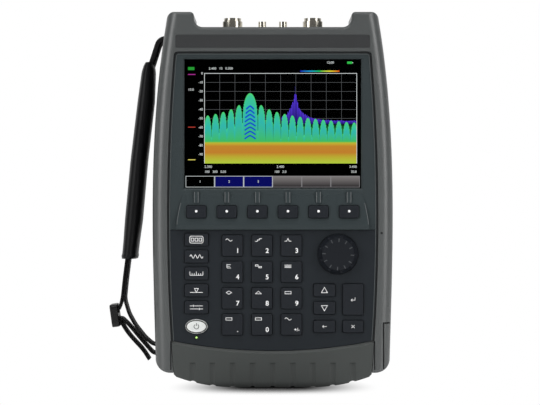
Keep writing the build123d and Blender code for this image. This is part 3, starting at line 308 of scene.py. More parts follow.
class Drawing:
    """Flat shapes drawn on a plane, each a thin solid with its own ink."""

    def __init__(self, thickness, layer_step=0.0):
        self.thickness, self.layer_step = thickness, layer_step
        self.vertices, self.faces, self.inks = [], [], []

    def fill(self, outline, ink, layer=0, inks=None):
        """Filled outline, its points running anticlockwise; inks gives one ink per point."""
        start, count = len(self.vertices), len(outline)
        low = layer * self.layer_step
        for height in (low, low + self.thickness):
            self.vertices += [(u, v, height) for u, v in outline]
            self.inks += [linear(one) for one in (inks or [ink] * count)]
        self.faces += tube(start, 2, count)

    def bar(self, left, low, right, high, ink, layer=0, top_ink=None):
        """Rectangle, shaded to top_ink at its upper edge."""
        top = top_ink or ink
        corners = [(left, low), (right, low), (right, high), (left, high)]
        self.fill(corners, ink, layer, [ink, ink, top, top])

    def disc(self, radius, ink, steps=24):
        """Filled circle about the origin."""
        turns = [2 * math.pi * step / steps for step in range(steps)]
        self.fill([(radius * math.cos(a), radius * math.sin(a)) for a in turns], ink)

    def stroke(self, points, width, ink, closed=False, layer=0):
        """Line of even width along the points, mitred at the corners."""
        points = [Vector(point) for point in points]
        count = len(points)
        start, low = len(self.vertices), layer * self.layer_step
        for index, point in enumerate(points):
            before = points[index - 1] if closed or index > 0 else None
            after = points[(index + 1) % count] if closed or index < count - 1 else None
            into = (point - before).normalized() if before else (after - point).normalized()
            out = (after - point).normalized() if after else into
            side = (Vector((-into.y, into.x)) + Vector((-out.y, out.x))).normalized()
            reach = width / 2 / max(side.dot(Vector((-into.y, into.x))), 0.4)
            for way, height in ((1, low), (-1, low), (-1, low + self.thickness), (1, low + self.thickness)):
                corner = point + way * reach * side
                self.vertices.append((corner.x, corner.y, height))
                self.inks.append(linear(ink))
        self.faces += tube(start, count, 4, closed)

    def piece(self, name, place, material):
        """Mesh object of everything drawn, set at the place's matrix."""
        vertices = [place @ Vector(vertex) for vertex in self.vertices]
        drawn = mesh_object(name, vertices, self.faces, material)
        ink = drawn.data.color_attributes.new("Ink", "FLOAT_COLOR", "POINT")
        ink.data.foreach_set("color", [value for color in self.inks for value in color])
        return drawn


def facing(origin, normal):
    """Matrix of a plane with X to the right, its second axis up and its third along the normal."""
    normal = Vector(normal).normalized()
    right = Vector((1.0, 0.0, 0.0))
    up = normal.cross(right)
    return Matrix.Translation(origin) @ Matrix((right, up, normal)).transposed().to_4x4()


def cap_of(node):
    """Matrix on the middle of a node's flat front cap."""
    mesh = frame["nodes"][node].data
    front = min(mesh.polygons, key=lambda face: face.normal.y * face.area)
    normal = front.normal.copy()
    level = front.center.dot(normal)
    low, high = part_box(node)
    middle = (Vector(low) + Vector(high)) / 2
    middle += normal * (level - middle.dot(normal))
    return facing(middle, normal)


def front_of(node):
    """Matrix on the middle of the front of a node's box."""
    low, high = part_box(node)
    return facing(((low[0] + high[0]) / 2, low[1], (low[2] + high[2]) / 2), (0, -1, 0))


def lettering(name, words, height, place, material, align="CENTER", thickness=0.05 * MM, bold=0.0):
    """Mesh of plain characters, its middle at the place's matrix."""
    curve = bpy.data.curves.new(name, "FONT")
    curve.body, curve.size, curve.extrude = words, height * 1.4, thickness / 2
    curve.align_x, curve.align_y, curve.resolution_u, curve.offset = align, "CENTER", 4, bold * height
    font = placed(name, curve)
    bpy.context.view_layer.update()
    mesh = bpy.data.meshes.new_from_object(font.evaluated_get(bpy.context.evaluated_depsgraph_get()))
    bpy.data.objects.remove(font)
    mesh.name = name
    mesh.transform(place)
    mesh.materials.clear()
    mesh.materials.append(material)
    return placed(name, mesh)


class ANALYZER_OT_case(bpy.types.Operator):
    """Rubber skin of the housings and doors, the bumper, the nameplate and the screws"""

    bl_idname = "analyzer.case"
    bl_label = "Case"

    # Painted shade: dark strips along the gaps by the battery door and beside the bumper
    seam_x, seam_foot, seam_head = 86.25 * MM, 10.5 * MM, 49.95 * MM
    seam_half, seam_lift, seam_ink = 0.45 * MM, 0.05 * MM, (0.1, 0.104, 0.108)
    seam_stations = 24
    flute_reach, flute_shade = 5.0 * MM, 1.9

    def seam_strip(self, context, start, end):
        """Thin strip on the case's front surface, from start in X and Z to the end or the last spot hit."""
        graph, corners = context.evaluated_depsgraph_get(), []
        along = Vector((end[0] - start[0], 0, end[1] - start[1])).normalized()
        for step in range(self.seam_stations + 1):
            share = step / self.seam_stations
            x, z = (one + share * (two - one) for one, two in zip(start, end))
            hit, spot, out = context.scene.ray_cast(graph, (x, -1.0, z), (0, 1, 0))[:3]
            if not hit:
                break
            side = out.cross(along).normalized() * self.seam_half
            rise = out * self.seam_lift
            corners += [spot + rise + side, spot + rise - side, spot - rise - side, spot - rise + side]
        return corners, tube(0, len(corners) // 4, 4)

    def dark_seams(self, context):
        """Painted shade: dark strips along the gaps at the housing's edge by the battery door and at the
        bumper's sides.
        """
        dark = grained("Dark seam", self.seam_ink, 0.6, bump=0.0, gloss=0.1)
        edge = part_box("battery_door")[1][0] - 1.0 * MM
        upright = ((self.seam_x, self.seam_head - self.seam_half), (self.seam_x, self.seam_foot))
        across = ((self.seam_x - self.seam_half, self.seam_head), (edge, self.seam_head))
        low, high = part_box("bottom_bumper")
        beside = high[0] + self.seam_half
        strips = {"battery_door_seam": upright, "battery_door_top_seam": across}
        for name, x in (("bumper_seam_right", beside), ("bumper_seam_left", -beside)):
            strips[name] = ((x, high[2]), (x, low[2]))
        shapes = [(name, self.seam_strip(context, *ends)) for name, ends in strips.items()]
        for name, (corners, faces) in shapes:
            strip = mesh_object(name, corners, faces, dark)
            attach(strip, "case")

    def execute(self, context):
        ink = colors()
        rubber_grain = {"scale": 1400, "bump": 0.08}
        skin = grained("Housing rubber", ink.case_skin, 0.36, variation=0.10, gloss=0.75, **rubber_grain)
        paint(skin, "front_housing", "rear_housing", "battery_door", "port_door")
        rubber = grained("Bumper rubber", ink.bumper, 0.55, **rubber_grain)
        # Painted shade: the bumper's colour darkened in its flutes' hollows
        paint(hollowed(rubber, self.flute_reach, self.flute_shade), "bottom_bumper")
        paint(grained("Nameplate plastic", ink.nameplate, 0.4, bump=0.02), "nameplate")
        paint(grained("Stand plastic", (0.11, 0.115, 0.12), 0.5), "tilt_stand")
        paint(grained("Blackened steel", (0.2, 0.2, 0.21), 0.35, metallic=1.0), "case_screws")
        paint(grained("Plain steel", (0.6, 0.6, 0.6), 0.3, metallic=1.0), "hinge_pins")
        paint(grained("Socket shells", (0.72, 0.73, 0.74), 0.28, metallic=1.0), "port_sockets")
        self.dark_seams(context)
        return {"FINISHED"}


class ANALYZER_OT_panels(bpy.types.Operator):
    """Display bezel, keypad panel and the clear window"""

    bl_idname = "analyzer.panels"
    bl_label = "Front panels"

    # Painted shade in the gap round the panel, and a painted highlight on the panel's edge bevel: name, inset,
    # width and ink
    seal_lines = (
        ("panel_seal", 0.9 * MM, 1.3 * MM, (0.12, 0.13, 0.135)),
        ("panel_edge_line", 2.0 * MM, 0.6 * MM, (0.33, 0.35, 0.355)),
    )
    panel_recess = 2.0 * MM
    rib_half, rib_rise, rib_low, rib_high = 1.95 * MM, 1.4 * MM, 143.8 * MM, 152.0 * MM
    ramp_top, ramp_crest, ramp_rise = 150.0 * MM, 126.1 * MM, 3.0 * MM
    ramp_half_widths = ((122.7 * MM, 75.4 * MM), (136.35 * MM, 73.65 * MM), (150.0 * MM, 70.3 * MM))
    # Ink and width of the painted highlights along the ribs' and the ramp's edges
    edge_ink, edge_width = (0.4, 0.415, 0.42), 0.5 * MM
    dot_x, dot_z, dot_radius, dot_ink = 84.8 * MM, 120.0 * MM, 0.9 * MM, (0.1, 0.1, 0.105)
    opening_half_widths = ((11.0 * MM, 77.5 * MM), (150.0 * MM, 82.2 * MM), (258.5 * MM, 77.1 * MM))
    opening_top, opening_round = 261.5 * MM, 3.0 * MM
    glass_tint = (0.97, 0.98, 0.98)

    def half_width(self, z, known):
        """Half width at height z, through three known heights."""
        total = 0.0
        for z_one, x_one in known:
            term = x_one
            for z_two, _ in known:
                if z_two != z_one:
                    term *= (z - z_two) / (z_one - z_two)
            total += term
        return total

    def outline(self, inset):
        """Line along the opening's sides and top, drawn in by inset."""
        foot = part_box("bottom_bumper")[1][2] + 0.2 * MM
        corner = self.opening_top - self.opening_round
        side = [foot + share / 24 * (corner - foot) for share in range(25)]
        right = [(self.half_width(z, self.opening_half_widths) - inset, z) for z in side]
        reach = self.opening_round - inset / 2
        centre_x, centre_z = right[-1][0] - reach, self.opening_top - inset - reach
        turns = [math.pi / 2 * step / 8 for step in range(9)]
        right = [one for one in right if one[1] < centre_z]
        right += [(centre_x + reach * math.cos(a), centre_z + reach * math.sin(a)) for a in turns]
        return [(-x, z) for x, z in right] + right[::-1]

    def execute(self, context):
        ink = colors()
        paint(grained("Bezel plastic", ink.bezel, 0.42, scale=1800, bump=0.05, gloss=0.22), "display_bezel")
        paint(grained("Keypad plastic", ink.keypad, 0.45, scale=1800, bump=0.05, gloss=0.18), "keypad_panel")
        clear = {"Roughness": 0.02, "IOR": 1.12, "Transmission Weight": 1.0}
        paint(plain("Window glass", {"Base Color": linear(self.glass_tint), **clear}), "display_window")
        paint(grained("Dark display", (0.01, 0.01, 0.012), 0.4, bump=0.0, gloss=0.0), "display_panel")
        place = facing((0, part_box("nameplate")[0][1] + self.panel_recess, 0), (0, -1, 0))
        # Painted shade and painted highlight drawn as thin lines round the panel
        for name, inset, width, ink in self.seal_lines:
            drawing = Drawing(sizes().print_thickness)
            drawing.stroke(self.outline(inset), width, ink)
            line = drawing.piece(name, place, grained(name.replace("_", " "), ink, 0.5, bump=0.0))
            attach(line, "case")
        self.rubbed_edges(place.translation.y)
        dot = Drawing(sizes().print_thickness)
        dot.disc(self.dot_radius, self.dot_ink)
        rim = facing((self.dot_x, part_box("front_housing")[0][1], self.dot_z), (0, -1, 0))
        spot = dot.piece("rim_dot", rim, grained("Rim dot", self.dot_ink, 0.4, bump=0.0))
        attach(spot, "case")
        return {"FINISHED"}

    def rubbed_edges(self, panel_y):
        """Painted highlights: pale lines along the ribs' edges and the ramp's sides."""
        highlight_finish = grained("Rubbed edge", self.edge_ink, 0.5, bump=0.0)
        ribs, ramp = Drawing(sizes().print_thickness), Drawing(sizes().print_thickness)
        for node in SOFTKEYS:
            low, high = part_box(node)
            middle = (low[0] + high[0]) / 2
            for way in (-1, 1):
                x = middle + way * (self.rib_half - self.edge_width)
                ribs.stroke([(x, self.rib_low), (x, self.rib_high)], self.edge_width, self.edge_ink)
        fall = self.ramp_top - self.ramp_crest
        slope = math.hypot(fall, self.ramp_rise) / fall
        heights = [self.ramp_crest + 0.6 * MM + k / 12 * 0.7 * fall for k in range(13)]
        for way in (-1, 1):
            sides = [way * (self.half_width(z, self.ramp_half_widths) - self.edge_width) for z in heights]
            arc = [(x, (z - self.ramp_top) * slope) for x, z in zip(sides, heights)]
            ramp.stroke(arc, 0.8 * self.edge_width, self.edge_ink)
        rib_place = facing((0, panel_y - self.rib_rise, 0), (0, -1, 0))
        ramp_place = facing((0, panel_y, self.ramp_top), (0, -fall, self.ramp_rise))
        for name, drawing, where in (("rib_edges", ribs, rib_place), ("ramp_edges", ramp, ramp_place)):
            line = drawing.piece(name, where, highlight_finish)
            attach(line, "case")


class ANALYZER_OT_inside(bpy.types.Operator):
    """Boards, domes, encoder, radio module and battery inside the case"""

    bl_idname = "analyzer.inside"
    bl_label = "Inside"

    def execute(self, context):
        paint(grained("Circuit board", (0.05, 0.27, 0.13), 0.35), "keypad_board", "main_board")
        paint(grained("Dome steel", (0.75, 0.75, 0.73), 0.3, metallic=1.0), "switch_domes")
        paint(grained("Milled shield", (0.72, 0.73, 0.74), 0.4, metallic=1.0), "radio_module")
        paint(grained("Dark plastic", (0.06, 0.06, 0.065), 0.45), "dial_encoder", "battery_pack")
        return {"FINISHED"}


class ANALYZER_OT_dial(bpy.types.Operator):
    """Dial knob on its steel shaft, with painted highlights on its flutes"""

    bl_idname = "analyzer.dial"
    bl_label = "Dial"

    tick_count, tick_start, tick_width = 12, -3.0, 0.7 * MM
    tick_shares, tick_ink = (0.63, 0.8), (0.29, 0.3, 0.315)

    def execute(self, context):
        paint(grained("Knob plastic", colors().knob, 0.38, scale=1600, bump=0.05, gloss=0.2), "dial_knob")
        paint(grained("Shaft steel", (0.62, 0.62, 0.62), 0.3, metallic=1.0), "dial_shaft")
        low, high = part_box("dial_knob")
        radius = (high[0] - low[0]) / 2
        # Painted highlights: pale strokes where light catches the knob's finger flutes
        drawing = Drawing(sizes().print_thickness)
        for step in range(self.tick_count):
            turn = math.radians(self.tick_start) + 2 * math.pi * step / self.tick_count
            reaches = [share * radius for share in self.tick_shares]
            ends = [(reach * math.cos(turn), reach * math.sin(turn)) for reach in reaches]
            drawing.stroke(ends, self.tick_width, self.tick_ink)
        finish = grained("Dial ticks", self.tick_ink, 0.5, bump=0.0)
        flute_highlights = drawing.piece("dial_ticks", front_of("dial_knob"), finish)
        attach(flute_highlights, body_of_node("dial_knob"))
        return {"FINISHED"}


class ANALYZER_OT_connectors(bpy.types.Operator):
    """Plate, nickel shells, gold contacts and trigger ports on the top deck"""

    bl_idname = "analyzer.connectors"
    bl_label = "Connectors"

    def execute(self, context):
        gold = grained("Contact gold", (0.83, 0.67, 0.36), 0.25, metallic=1.0, bump=0.0)
        paint(grained("Deck plate", (0.33, 0.34, 0.35), 0.4, metallic=1.0), "connector_plate")
        nickel = grained("Nickel", colors().nickel, 0.2, metallic=0.95, bump=0.0)
        paint(nickel, "rf_port_shells", "trigger_ports")
        paint(gold, "rf_port_contacts")
        return {"FINISHED"}


# Small pictures for the keys, as lines on a square that runs from -1 to 1
PICTURES = {
    "tiles": [[(-0.9, 0.9), (-0.1, 0.9), (-0.1, 0.1), (-0.9, 0.1), (-0.9, 0.9)],
              [(0.1, -0.1), (0.9, -0.1), (0.9, -0.9), (0.1, -0.9), (0.1, -0.1)]],
    "wave": [[(-1 + 2 * k / 16, 0.7 * math.sin(2 * math.pi * k / 16)) for k in range(17)]],
    "ruler": [[(-0.6, -1), (-0.6, 1), (0.6, 1)], [(-0.6, 0), (0.3, 0)], [(-0.6, -1), (0.6, -1)]],
    "diamond": [[(0, 1), (-0.8, 0), (0, -1), (0.8, 0), (0, 1)]],
    "sliders": [[(-1, 0.7), (1, 0.7)], [(-1, 0), (1, 0)], [(-1, -0.7), (1, -0.7)]],
    "up": [[(0, 0.9), (-0.9, -0.7), (0.9, -0.7), (0, 0.9)]],
    "down": [[(0, -0.9), (0.9, 0.7), (-0.9, 0.7), (0, -0.9)]],
    "back": [[(1, 0), (-0.9, 0)], [(-0.3, 0.6), (-0.9, 0), (-0.3, -0.6)]],
    "enter": [[(0.9, 0.9), (0.9, -0.3), (-0.9, -0.3)], [(-0.3, 0.3), (-0.9, -0.3), (-0.3, -0.9)]],
    "escape": [[(-0.7, -0.7), (0.7, 0.7)], [(-0.7, 0.7), (0.7, -0.7)]],
    "steps": [[(-1, -0.8), (-0.3, -0.8), (-0.3, 0), (0.3, 0), (0.3, 0.8), (1, 0.8)]],
    "peak": [[(-1, -0.7), (-0.4, -0.7), (0, 0.9), (0.4, -0.7), (1, -0.7)]],
    "modes": [[(x, -0.7), (x + 1.2, -0.7), (x + 1.2, 0.7), (x, 0.7), (x, -0.7)] for x in (-2.4, -0.6, 1.2)],
    "waves": [[(-3 + 6 * k / 36, 0.8 * math.sin(6 * math.pi * k / 36)) for k in range(37)]],
    "scale": [[(-3, -0.8), (3, -0.8)],
              *([(k - 3, -0.8), (k - 3, 0.1 if k % 3 else 0.9)] for k in range(7))],
    "marker": [[(-3, -0.9), (3, -0.9)], [(0, -0.9), (-0.9, 0.9), (0.9, 0.9), (0, -0.9)]],
    "controls": [[(-3, 0.7), (3, 0.7)], [(-3, -0.7), (3, -0.7)],
                 [(-1.4, 1.2), (-1.4, 0.2)], [(1.4, -0.2), (1.4, -1.2)]],
    "frame": [[(-0.9, -0.7), (0.9, -0.7), (0.9, 0.7), (-0.9, 0.7), (-0.9, -0.7)]],
}
KEY_PICTURES = dict(zip(LEFT_KEYS + RIGHT_KEYS, [
    "modes", "waves", "scale", "marker", "controls", "up", "down", "back", "enter", "escape"]))
DIGIT_PICTURES = ["frame", "wave", "steps", "peak", "ruler", "tiles", "sliders", "diamond", "up", "frame"]


def draw_picture(drawing, picture, u, v, half, ink, stretch=1.0):
    """Draws one small picture about the point u, v, stretched sideways."""
    for line in PICTURES[picture]:
        closed = line[0] == line[-1]
        points = [(u + stretch * half * x, v + half * y) for x, y in (line[:-1] if closed else line)]
        drawing.stroke(points, sizes().stroke, ink, closed)


class ANALYZER_OT_keys(bpy.types.Operator):
    """Key finishes, and on each key the print that moves with it"""

    bl_idname = "analyzer.keys"
    bl_label = "Keys and legends"

    picture_half, stretch = 1.3 * MM, 2.0
    big_half = 2.6 * MM
    mode_half_width, mode_half_height = 5.2 * MM, 2.7 * MM
    spark_radius = 0.75 * MM
    picture_at, numeral_at = (-0.3, 0.48), (0.46, -0.44)
    word_share, numeral_bold = 0.7, 0.03
    button_margin, ring_inset, ring_width, sign_share = 1.0 * MM, 0.7 * MM, 0.75 * MM, 0.34

    def legend(self, node, drawing):
        """Sets a drawing on a key's cap."""
        drawn = drawing.piece(f"{node}_legend", cap_of(node), self.print_white)
        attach(drawn, body_of_node(node))

    def execute(self, context):
        ink, size = colors(), sizes()
        white = tuple(ink.legend)
        self.print_white = grained("Key print", white, 0.5, bump=0.0, variation=0.03)
        rubber = grained("Key rubber", ink.keys, 0.5, scale=1800, bump=0.04, gloss=0.2)
        caps = SOFTKEYS + LEFT_KEYS + DIGIT_KEYS + ["point_key", "sign_key"] + RIGHT_KEYS
        paint(rubber, *caps)
        paint(grained("White button", (0.93, 0.94, 0.93), 0.4, bump=0.0, variation=0.03), "power_button")
        for node in SOFTKEYS:
            drawing = Drawing(size.print_thickness)
            drawing.disc(size.dot, white)
            self.legend(node, drawing)
        for node in LEFT_KEYS + RIGHT_KEYS:
            drawing = Drawing(size.print_thickness)
            half = self.big_half if node in ("up_key", "down_key") else 1.3 * self.picture_half
            draw_picture(drawing, KEY_PICTURES[node], 0, 0, half, white)
            if node == LEFT_KEYS[0]:
                wide, tall, cut = self.mode_half_width, self.mode_half_height, self.mode_half_height / 3
                outline = [(-wide + cut, -tall), (wide - cut, -tall), (wide, -tall + cut), (wide, tall - cut),
                           (wide - cut, tall), (-wide + cut, tall), (-wide, tall - cut), (-wide, -tall + cut)]
                drawing.stroke(outline, size.stroke, white, closed=True)
            self.legend(node, drawing)
        signs = {node: str(index) for index, node in enumerate(DIGIT_KEYS)}
        signs.update(point_key=".", sign_key="+/-")
        for index, (node, sign) in enumerate(signs.items()):
            low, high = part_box(node)
            wide, tall = (high[0] - low[0]) / 2, (high[2] - low[2]) / 2
            drawing = Drawing(size.print_thickness)
            picture = DIGIT_PICTURES[index % len(DIGIT_PICTURES)]
            u, v = self.picture_at
            draw_picture(drawing, picture, u * wide, v * tall, self.picture_half, white, self.stretch)
            self.legend(node, drawing)
            height = size.numeral if len(sign) == 1 else self.word_share * size.numeral
            u, v = self.numeral_at
            place = cap_of(node) @ Matrix.Translation((u * wide, v * tall, size.print_thickness / 2))
            name = f"{node}_numeral"
            numeral = lettering(name, sign, height, place, self.print_white, bold=self.numeral_bold)
            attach(numeral, body_of_node(node))
        self.power_print(size)
        paint(plain("Lamp lens", {"Base Color": linear((0.16, 0.24, 0.06)), "Roughness": 0.2}), "power_lamp")
        lit = linear(ink.lamp)
        spark = plain("Lamp spark", {"Base Color": lit, "Emission Color": lit, "Emission Strength": 0.9})
        drawing = Drawing(size.print_thickness)
        drawing.disc(self.spark_radius, tuple(ink.lamp))
        glow = drawing.piece("power_lamp_spark", front_of("power_lamp"), spark)
        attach(glow, body_of_node("power_lamp"))
        return {"FINISHED"}

    def power_print(self, size):
        """Painted shade of the gap as a dark ring on the oval button, and the printed power sign."""
        dark = (0.06, 0.065, 0.07)
        print_and_gap_shade = grained("Dark print", dark, 0.5, bump=0.0, variation=0.03)
        low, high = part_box("power_button")
        wide, tall = ((high[axis] - low[axis]) / 2 - self.button_margin for axis in (0, 2))
        drawing = Drawing(size.print_thickness)
        turns = [2 * math.pi * step / 48 for step in range(48)]
        ring_wide, ring_tall = wide - self.ring_inset, tall - self.ring_inset
        ring = [(ring_wide * math.cos(a), ring_tall * math.sin(a)) for a in turns]
        # Painted shade: the dark ring stands for the shaded gap round the button's white top
        drawing.stroke(ring, self.ring_width, dark, closed=True)
        radius = self.sign_share * tall
        arc = [math.radians(125 + 290 * step / 24) for step in range(25)]
        drawing.stroke([(radius * math.cos(a), radius * math.sin(a)) for a in arc], size.stroke, dark)
        drawing.stroke([(0, 0.1 * tall), (0, 0.5 * tall)], size.stroke, dark)
        sign = drawing.piece("power_button_legend", cap_of("power_button"), print_and_gap_shade)
        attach(sign, body_of_node("power_button"))


class ANALYZER_OT_stage(bpy.types.Operator):
    """Pale floor, soft light and the camera"""

    bl_idname = "analyzer.stage"
    bl_label = "Stage"

    view_centre = (-2.1 * MM, 143.8 * MM)
    contact_reach, shadow_fall = 70.0 * MM, 3.0
    shadow_reach = (84.0 * MM, 110.0 * MM)
    open_low, open_high = 0.45, 0.98
    edge_low, edge_high = 0.26, 1.0
    room_low, room_high = 0.0, 0.9
    mirrored_floor, floor_half = 0.3, 6.0
    sensor_width = 36.0
    # Each softbox: name, the setting of its watts, place, width and height
    softboxes = (
        ("left_softbox", "side_light", (-1.25, -0.95, 0.45), 0.55, 1.1),
        ("right_softbox", "side_light", (1.25, -0.95, 0.45), 0.55, 1.1),
        ("top_softbox", "top_light", (0.0, -0.45, 1.3), 1.4, 0.6),
    )

    def seen_share(self, tree):
        """Two sockets: 1 for rays from the camera, mirrors and glass, and 1 for the camera's alone."""
        path = shader_node(tree, "LightPath").outputs
        total = path["Is Camera Ray"]
        for ray in ("Is Glossy Ray", "Is Transmission Ray"):
            pair = {0: total, 1: path[ray]}
            total = shader_node(tree, "Math", pair, operation="ADD", use_clamp=True).outputs[0]
        return total, path["Is Camera Ray"]

    def blend(self, tree, share, low, high):
        """Socket that runs from low to high with the share; each is a number or a socket."""
        return shader_node(tree, "Mix", {"Factor": share, "A": low, "B": high}).outputs["Result"]

    def studio(self, stage):
        """World: white to the eye, white behind and dim in front to mirrors, even light to the rest."""
        world = bpy.data.worlds.new("Studio")
        world.use_nodes = True
        tree = world.node_tree
        way = shader_node(tree, "TexCoord").outputs["Generated"]
        depth = shader_node(tree, "SeparateXYZ", {0: way}).outputs["Y"]
        span = {"From Min": self.room_low, "From Max": self.room_high, "To Min": stage.front_glow}
        room = shader_node(tree, "MapRange", {"Value": depth, **span}).outputs["Result"]
        seen, camera = self.seen_share(tree)
        lit = self.blend(tree, seen, stage.sky, room)
        sky = {"Color": linear((1.0, 1.0, 1.0)), "Strength": self.blend(tree, camera, lit, 1.0)}
        feed(tree, tree.nodes["Background"], sky)
        return world

    def floor(self):
        """Pale floor with a painted contact shadow: ambient occlusion near the object, kept to an ellipse
        round the bumper's foot.
        """
        material, tree, shader = new_material("Pale floor")
        near = shader_node(tree, "AmbientOcclusion", {"Distance": self.contact_reach}).outputs["AO"]
        span = {"From Min": self.open_low, "From Max": self.open_high}
        open_share = shader_node(tree, "MapRange", {"Value": near, **span}).outputs["Result"]
        contact = math_node(tree, "POWER", open_share, self.shadow_fall)
        place = shader_node(tree, "TexCoord").outputs["Object"]
        wide, deep = self.shadow_reach
        shift = (0.0, -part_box("bottom_bumper")[0][1] / deep, 0.0)
        about = {0: place, 1: (1 / wide, 1 / deep, 0.0), 2: shift}
        from_foot = shader_node(tree, "VectorMath", about, operation="MULTIPLY_ADD").outputs["Vector"]
        away = shader_node(tree, "VectorMath", {0: from_foot}, operation="LENGTH").outputs["Value"]
        span = {"From Min": self.edge_low, "From Max": self.edge_high}
        edge = shader_node(tree, "MapRange", {"Value": away, **span}, interpolation_type="SMOOTHSTEP")
        # Painted shadow: this shade dims the floor's glow to the eye and, for other rays, its colour
        shade = self.blend(tree, edge.outputs["Result"], contact, 1.0)
        seen, camera = self.seen_share(tree)
        light = self.blend(tree, camera, self.mirrored_floor, shade)
        feed(tree, shader, {
            "Roughness": 0.9,
            "Specular IOR Level": 0.0,
            "Emission Color": linear((1.0, 1.0, 1.0)),
            "Emission Strength": self.blend(tree, seen, 0.0, light),
            "Base Color": self.blend(tree, camera, shade, 0.0),
        })
        half = self.floor_half
        corners = [(-half, -half, 0), (half, -half, 0), (half, half, 0), (-half, half, 0)]
        mesh_object("floor", corners, [(0, 1, 2, 3)], material)

    def execute(self, context):
        stage, scene = context.scene.analyzer_stage, context.scene
        scene.view_settings.view_transform = "Standard"
        scene.world = self.studio(stage)
        self.floor()
        x, z = self.view_centre
        for name, watts, place, width, height in self.softboxes:
            lamp = bpy.data.lights.new(name, "AREA")
            lamp.shape, lamp.size, lamp.size_y = "RECTANGLE", width, height
            lamp.energy = getattr(stage, watts)
            holder = placed(name, lamp)
            holder.location = place
            aim = Vector((0, 0, z)) - Vector(place)
            holder.rotation_euler = aim.to_track_quat("-Z", "Y").to_euler()
        camera = bpy.data.cameras.new("camera")
        camera.lens, camera.sensor_width = stage.focal_length, self.sensor_width
        camera.sensor_fit = "HORIZONTAL"
        holder = placed("camera", camera)
        holder.location = (x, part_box("front_housing")[0][1] - stage.camera_distance, z)
        holder.rotation_euler = (math.pi / 2, 0, 0)
        scene.camera = holder
        return {"FINISHED"}


